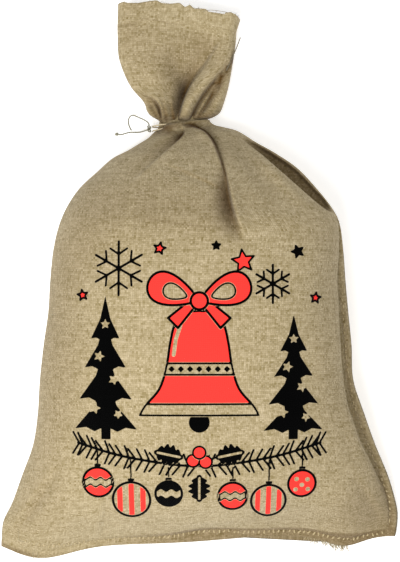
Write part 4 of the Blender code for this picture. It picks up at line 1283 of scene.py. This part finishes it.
tie = {
    "thickness": 2.0,
    "sides": 14,
    "step": 0.5,            # mm between rings
    "lay": 6.0,             # mm for one turn of the two plies
    "plyDepth": 0.26,       # how deep the groove between them is, in radii
    "row": 21.5,            # the body's row that the turns lie round
    "turns": 1.9,
    "middle": 0.95,         # where on that row half of them are laid
    "clear": 1.4,           # mm from the cloth to the twine's middle
    "slack": 8.0,           # how far the turns stand off the neck's left side
    "slackFrom": (-38, -58),    # plan x
    "spread": 4.5,          # how far they part there
    "pitch": 2.3,           # mm from turn to turn
    "knotPlace": (-75.7, 226.5, 29),
    "knotLoop": 1.6,
    "knotDepth": 1.4,
    "tail": (
        (-75.7, 226.5, 22.9), (-76.4, 226.3, 19.6), (-79.2, 225.6, 15.4), (-83.4, 224.4, 11.0),
        (-88.2, 223.2, 6.8), (-93.2, 222.7, 3.2), (-98.4, 222.9, 1.5), (-104.0, 222.9, 1.2),
        (-109.5, 221.9, 1.2), (-114.5, 220.4, 1.2), (-119.0, 219.3, 1.2), (-121.6, 219.6, 1.2),
    ),
    "curl": (
        (-75.7, 232.0, 32.2), (-77.0, 235.1, 33.1), (-80.4, 238.2, 31.6), (-84.6, 240.8, 27.0),
        (-89.2, 243.2, 19.5), (-93.8, 245.6, 11.0), (-98.0, 247.6, 4.6), (-101.6, 248.2, 1.8),
        (-104.8, 246.6, 1.2), (-107.0, 242.6, 1.2), (-107.4, 237.4, 1.2), (-106.2, 232.2, 1.2),
        (-104.2, 228.0, 1.2), (-103.0, 225.6, 1.2),
    ),
    "endKnot": {"middle": (-124.7, 220.0, 2.5), "half": (2.9, 2.3, 2.1), "lump": 0.14},     # on the tail's tip
}


def pointsAt(points, length, spots):
    return np.stack([np.interp(spots, length, points[:, k]) for k in range(3)], -1)


def evenly(points, step):
    # points about a step apart along a path, and its length
    length = travel(points)
    spots = np.linspace(0, length[-1], max(3, round(length[-1] / step)) + 1)
    return pointsAt(points, length, spots), length[-1]


def smoothRoute(route, step):
    return evenly(throughRows(route, 40 * len(route)), step)


def tubeRings(points, radius, sides, lay=0.0, depth=0.0, closed=False):
    # rings along a path; with a lay, two plies turn round each other as they go
    if closed:
        tangents = np.roll(points, -1, axis=0) - np.roll(points, 1, axis=0)
    else:
        tangents = np.gradient(points, axis=0)
    tangents /= np.linalg.norm(tangents, axis=1)[:, None]
    aside = np.array((0.0, 0.0, 1.0) if abs(tangents[0][2]) < 0.9 else (1.0, 0.0, 0.0))
    asides = []
    for tangent in tangents:
        aside = aside - tangent * aside.dot(tangent)
        aside /= np.linalg.norm(aside)
        asides.append(aside)
    asides = np.array(asides)
    others = np.cross(tangents, asides)
    slip = 0.0
    if closed:
        back = asides[0] - tangents[-1] * asides[0].dot(tangents[-1])
        slip = math.atan2(back.dot(others[-1]), back.dot(asides[-1]))
    travelled = travel(points)
    angle = np.linspace(0, 2 * math.pi, sides + 1)[None] + (slip * travelled / travelled[-1])[:, None]
    radii = np.broadcast_to(radius, len(points))[:, None] * np.ones_like(angle)
    if lay:
        turns = 2 * math.pi * (travelled / lay)[:, None]
        radii = radii * (1 - depth * (1 - np.abs(np.cos(angle - turns))))
    rings = (points[:, None] + radii[..., None]
             * (np.cos(angle)[..., None] * asides[:, None] + np.sin(angle)[..., None] * others[:, None]))
    if closed:
        return np.concatenate((rings, rings[:1]))
    return np.concatenate((points[:1, None].repeat(sides + 1, 1), rings, points[-1:, None].repeat(sides + 1, 1)))


def addTube(bm, rings):
    # a grid whose columns meet round the tube, and whose ends meet in a point or each other
    bmesh.ops.remove_doubles(bm, verts=gridOver(bm, rings), dist=weld["thread"] * mm)


def finishPiece(name, bm, material):
    bmesh.ops.recalc_face_normals(bm, faces=bm.faces)
    return meshPiece(name, bm, material)


def twinePiece(name, points, replaced, closed=False, lay=None, material=twine):
    bm = bmesh.new()
    addTube(bm, tubeRings(points, tie["thickness"] / 2, tie["sides"], lay or tie["lay"], tie["plyDepth"], closed))
    piece = finishPiece(name, bm, material)
    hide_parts(replaced)
    return piece


def neckWraps():
    # the tie's turns round the neck, side by side
    ring = bodyPoints(np.array((tie["row"],)), *bodyColumns())[0][0]
    row = rowsAt(sackBody["rows"], tie["row"])[0]
    along = np.array((row[2] - row[0], row[3] - row[1], 0.0))
    along /= np.linalg.norm(along)
    towardsMouth = np.array((-along[1], along[0], 0.0))
    ring, _ = evenly(ring, 1.0)
    steps = np.roll(ring[:-1], -1, axis=0) - np.roll(ring[:-1], 1, axis=0)
    outward = np.cross(steps, towardsMouth)
    outward /= np.linalg.norm(outward, axis=1)[:, None]
    slack = smooth(*tie["slackFrom"], ring[:-1, 0])
    loop = ring[:-1] + outward * (tie["clear"] + tie["slack"] * slack[:, None])
    slack = np.concatenate((slack, slack[:1]))
    loop = np.concatenate((loop, loop[:1]))
    length = travel(loop)
    turn = tie["turns"] * np.linspace(-0.5, 0.5, 900)
    place = (turn + tie["middle"]) % 1 * length[-1]
    spots = pointsAt(loop, length, place)
    aside = (tie["pitch"] + tie["spread"] * np.interp(place, length, slack)) * turn
    return evenly(spots + towardsMouth * aside[:, None], tie["step"])[0]


def makeTie():
    twinePiece("tieWraps", neckWraps(), "tie_wrap", material=freshTwine)
    turn = np.linspace(0, 2 * math.pi, 121)[:-1]
    trefoil = np.stack((-np.sin(3 * turn) * tie["knotDepth"], np.sin(turn) + 2 * np.sin(2 * turn),
                        np.cos(turn) - 2 * np.cos(2 * turn)), -1) * tie["knotLoop"] + tie["knotPlace"]
    around = travel(np.concatenate((trefoil, trefoil[:1])))[-1]
    twinePiece("tieKnot", trefoil, "tie_knot", closed=True, lay=around / round(around / tie["lay"]))
    endKnot = makeEndKnot()
    for name, route, replaced, farEnd, carried in (
        ("tieTail", tie["tail"], "tie_tail", "knot", [endKnot]),
        ("tieCurl", tie["curl"], "tie_curl", "bare", []),
    ):
        points, length = smoothRoute(route, tie["step"])
        piece = twinePiece(name, points, replaced)


def makeEndKnot():
    # small lumpy knot on the tip of the tail
    bm = bmesh.new()
    bmesh.ops.create_uvsphere(bm, u_segments=28, v_segments=20, radius=1)
    middle, half = np.array(tie["endKnot"]["middle"]), np.array(tie["endKnot"]["half"])
    for vert in bm.verts:
        angle = math.atan2(vert.co.z, vert.co.y)
        lump = 1 + tie["endKnot"]["lump"] * math.cos(3 * angle + 4.5 * vert.co.x)
        vert.co = toFrame(middle + np.array(vert.co) * half * (1, lump, lump))
    piece = finishPiece("tieEndKnot", bm, twine)
    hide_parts("tie_end")
    return piece


makeTie()
print("tie is made")

# Every seam is sewn by hand with a coarse jute thread. Paths are in plan millimetres; turn is the
# angle from the seam to a stitch, and stray how far it differs, in degrees.
sewing = {
    "seams": {
        "side": {
            "pitch": 9.5, "length": 6.5, "radius": 1.3, "turn": 8, "stray": 24,
            "path": ((206, 20), (208, -20), (210, -53), (214, -102), (219, -146), (225, -175), (234, -206),
                     (247, -240), (261, -272), (272, -298), (281, -320), (284, -333), (284, -350), (283, -368)),
        },
        "bottom": {
            "pitch": 7.5, "length": 6.5, "radius": 1.35, "turn": 74, "stray": 30,
            "path": ((-268, -386), (-230, -394), (-190, -391), (-150, -385), (-110, -382), (-46, -379),
                     (-16, -374.4), (22, -371.2), (79, -373), (147, -372.2), (216, -384), (254, -379), (280, -375)),
        },
    },
    "sizes": (0.55, 1.2),   # shares of a stitch's length, from the shortest to the longest
    "flat": 0.6,            # how flat a stitch lies on the cloth
    "drift": (1.0, 0.8),    # mm that it strays along the seam and across it
    "rise": 0.45,           # radii that its middle stands off the cloth
    "dive": 0.8,            # radii that its ends go in
    "ringSides": 7,
    "rings": 7,
    "seed": 9,
}


def surfaceFinder(pieces):
    # the place and the normal of the cloth straight under, or over, a plan point
    bm = bmesh.new()
    for piece in pieces:
        bm.from_mesh(piece.data)
    tree = BVHTree.FromBMesh(bm)
    bm.free()

    def find(x, y, side):
        start = Vector(toFrame((x, y, 400 * side)).tolist())
        hit, normal, _, _ = tree.ray_cast(start, Vector((0, 0, -side)))
        return (hit, normal) if hit else (None, None)
    return find


def addStitch(bm, hit, normal, direction, length, radius):
    # one stitch: a thread that comes up out of the cloth, lies along it and goes back in
    direction = (direction - normal * direction.dot(normal)).normalized()
    aside = normal.cross(direction)
    angles = np.linspace(0, 2 * math.pi, sewing["ringSides"] + 1)
    rows = []
    for share in np.linspace(-1, 1, sewing["rings"]):
        thick = radius * math.sqrt(max(0.02, 1 - share ** 4))
        rise = sewing["rise"] * radius - sewing["dive"] * radius * share ** 4
        middle = hit + direction * (length / 2 * share) + normal * rise
        rows.append([middle + aside * (thick * math.cos(a)) + normal * (sewing["flat"] * thick * math.sin(a))
                     for a in angles])
    first, last = ([row[0].lerp(row[sewing["ringSides"] // 2], 0.5)] * len(row) for row in (rows[0], rows[-1]))
    addTube(bm, np.array([first] + rows + [last]) / mm - planShift)


def makeSewing():
    find = surfaceFinder((sackBodyPiece,))
    draw = random.Random(sewing["seed"])
    bm = bmesh.new()
    for seam in sewing["seams"].values():
        spots, _ = smoothRoute([(x, y, 0) for x, y in seam["path"]], seam["pitch"])
        for side in (1, -1):        # the front, then the back
            for before, here, after in zip(spots, spots[1:], spots[2:]):
                run = (after - before) / np.linalg.norm(after - before)
                along, aside = (draw.uniform(-drift, drift) for drift in sewing["drift"])
                here = here + run * along + np.array((-run[1], run[0], 0)) * aside
                hit, normal = find(here[0], here[1], side)
                angle = math.radians(seam["turn"] * side + draw.uniform(-1, 1) * seam["stray"])
                direction = Vector((run[0] * math.cos(angle) - run[1] * math.sin(angle),
                                    run[0] * math.sin(angle) + run[1] * math.cos(angle), 0))
                size = draw.uniform(*sewing["sizes"])
                if hit:
                    addStitch(bm, hit, normal, direction, seam["length"] * size * mm, seam["radius"] * mm)
    finishPiece("seamStitches", bm, stitching)


makeSewing()
print("seams are sewn")

# Single threads that have come loose, as plan points with heights, and the short hairs of the mouth
looseThreads = {
    "width": 1.0,
    "strands": (
        # two ends at the left ear
        ((-249, -404, 3.2), (-249.5, -410, 2.4), (-250.5, -417, 1.2)),
        ((-242, -404, 3.2), (-242.5, -410, 2.4), (-241.5, -416.5, 1.2)),
        # over the dip in the mouth's edge
        ((4, 398, 44), (12, 401.5, 44), (20, 401.8, 43.5), (30, 400.5, 43), (39, 399, 42), (46, 396, 41)),
        # mended spot at the left ear
        ((-270, -372, 14), (-270.5, -380, 11), (-270, -387, 9)),
        ((-270, -387, 9), (-264, -388.5, 9), (-257, -390, 9)),
    ),
    "pulled": {             # a thick thread down the ruff's right edge, dark as painted shadow of the layer behind
        "width": 1.9,
        "path": ((39, 312, 46), (44, 323, 46), (50, 336, 45.5), (55, 348, 44), (60, 361.5, 41)),
    },
    "hairs": 84,
    "hairWidth": 0.7,
    "hairLengths": (1.2, 4.2),
    "longer": (9, 1.6),     # every so many, one is longer by this factor
    "seed": 21,
}


def addThread(bm, points, width, taper, sides=5):
    share = np.linspace(0, 1, len(points))
    addTube(bm, tubeRings(points, width / 2 * (1 - taper * share), sides))


def strayThread(root, way, bend, length, count, start=0.0, lowest=1.0):
    # a short thread that sets off one way and bends another, above the floor
    share = np.linspace(start, 1, count)[:, None]
    points = root + (way * share + bend * share ** 2) * length
    points[:, 2] = np.maximum(points[:, 2], lowest)
    return points


def makeLooseThreads():
    find = surfaceFinder((sackBodyPiece, ruffPiece))
    bm = bmesh.new()
    for strand in looseThreads["strands"]:
        points, _ = smoothRoute(strand, 2.0)
        for point in points:
            hit, _ = find(point[0], point[1], 1)
            if hit:
                point[2] = max(point[2], hit.z / mm + 0.4)
        addThread(bm, points, looseThreads["width"], 0.35)
    finishPiece("looseThreads", bm, fibre)
    # the thread down the ruff's right edge, dark as the painted shadow of the layer behind
    bm = bmesh.new()
    addThread(bm, smoothRoute(looseThreads["pulled"]["path"], 1.5)[0], looseThreads["pulled"]["width"], 0.3)
    finishPiece("pulledThreadAsEdgeShade", bm, edgeShadeJute)

    each, longer = looseThreads["longer"]
    draw = random.Random(looseThreads["seed"])
    rim, _ = evenly(ruffRing(len(ruff["rows"]) - 1, 1.0, 0.0)[:, :3], 1.0)
    bm = bmesh.new()
    for number in range(looseThreads["hairs"]):
        root = rim[draw.randrange(len(rim))]
        length = draw.uniform(*looseThreads["hairLengths"]) * (longer if number % each == 0 else 1.0)
        way = np.array((draw.uniform(-0.8, 0.8), 1.0, draw.uniform(-0.3, 0.3)))
        bend = np.array((draw.uniform(-0.5, 0.5), -0.2, -0.2))
        hair = strayThread(root, way, bend, length, 5, start=-0.3, lowest=0.8)
        addThread(bm, hair, looseThreads["hairWidth"], 0.5)
    finishPiece("mouthHairs", bm, fibre)


makeLooseThreads()
print("loose threads are made")

# Threads that the bottom seam's allowance has shed, past the seam near the right corner
fray = {
    "from": 0.57,           # places across the bottom seam, where 1 is its right end
    "to": 0.79,
    "threads": 60,
    "width": 1.25,
    "backing": 1.4,         # the strip that the threads come from
    "inside": 1.2,          # which lies this far up in the seam's edge
    "lengths": (9, 13, 8, 12, 15, 10, 13, 8, 14, 10, 9, 13, 16, 11, 9, 14, 10),
    "crowd": 0.75,          # they are closer together to the right
    "tuft": 0.4,            # and longer by this share at the right end
    "seed": 4,
}


def seamEdge(across):
    # just inside the middle of the bottom seam's edge
    return frontLine(np.array((0.0,)), across)[0] + (0, fray["inside"], 0)


def makeFray():
    bm = bmesh.new()
    draw = random.Random(fray["seed"])
    backing = [seamEdge(across) for across in np.linspace(fray["from"] - 0.004, fray["to"] + 0.006, 60)]
    addThread(bm, np.array(backing), fray["backing"], 0, sides=8)
    for number in range(fray["threads"]):
        share = ((number + draw.uniform(0.2, 0.8)) / fray["threads"]) ** fray["crowd"]
        across = fray["from"] + (fray["to"] - fray["from"]) * share
        root = seamEdge(across)
        length = fray["lengths"][number % len(fray["lengths"])] * draw.uniform(0.85, 1.1)
        length *= 1 + fray["tuft"] * float(smooth(0.8, 0.95, number / fray["threads"]))
        lean = draw.uniform(-0.5, 0.5)
        curl = draw.uniform(-0.6, 0.6)
        drop = draw.uniform(0.05, 0.6)
        strand = strayThread(root, np.array((lean, -1.0, -drop)), np.array((curl, 0.1, 0.1)), length * 0.8, 8)
        addThread(bm, strand, fray["width"], 0.6)
    piece = finishPiece("bottomFray", bm, fibre)
    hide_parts("bottom_fray")


makeFray()
print("fray is made")

studio = {
    "floor": "#FAFAFA",
    "floorGlow": 0.42,      # so that the floor is as white as the photo's
    "floorSize": 9.0,       # metres
    "sky": 0.46,
    "lamps": {              # place, size in metres, watts
        "key": ((-1.0, -1.2, 3.0), 2.2, 116.0),
        "fill": ((1.6, 0.4, 4.4), 1.6, 40.0),
    },
}


def makeStudio():
    material, _, shader = newMaterial("pale_studio_floor")
    shader.inputs["Base Color"].default_value = linear(studio["floor"])
    shader.inputs["Roughness"].default_value = 0.9
    shader.inputs["Emission Color"].default_value = linear(studio["floor"])
    shader.inputs["Emission Strength"].default_value = studio["floorGlow"]
    bm = bmesh.new()
    bmesh.ops.create_grid(bm, x_segments=1, y_segments=1, size=studio["floorSize"] / 2)
    mesh = bpy.data.meshes.new("floor")
    bm.to_mesh(mesh)
    bm.free()
    mesh.materials.append(material)
    floor = bpy.data.objects.new("floor", mesh)
    bpy.context.scene.collection.objects.link(floor)
    for name, (place, size, power) in studio["lamps"].items():
        light = bpy.data.lights.new(name, "AREA")
        light.shape = "DISK"
        light.size = size
        light.energy = power
        lamp = bpy.data.objects.new(name, light)
        bpy.context.scene.collection.objects.link(lamp)
        lamp.location = place
        lamp.rotation_euler = (-Vector(place)).to_track_quat("-Z", "Y").to_euler()
    world = bpy.data.worlds.new("studio")
    world.use_nodes = True
    world.node_tree.nodes["Background"].inputs["Color"].default_value = (1, 1, 1, 1)
    world.node_tree.nodes["Background"].inputs["Strength"].default_value = studio["sky"]
    bpy.context.scene.world = world
    bpy.context.scene.view_settings.view_transform = "Standard"


makeStudio()
print("studio is made")
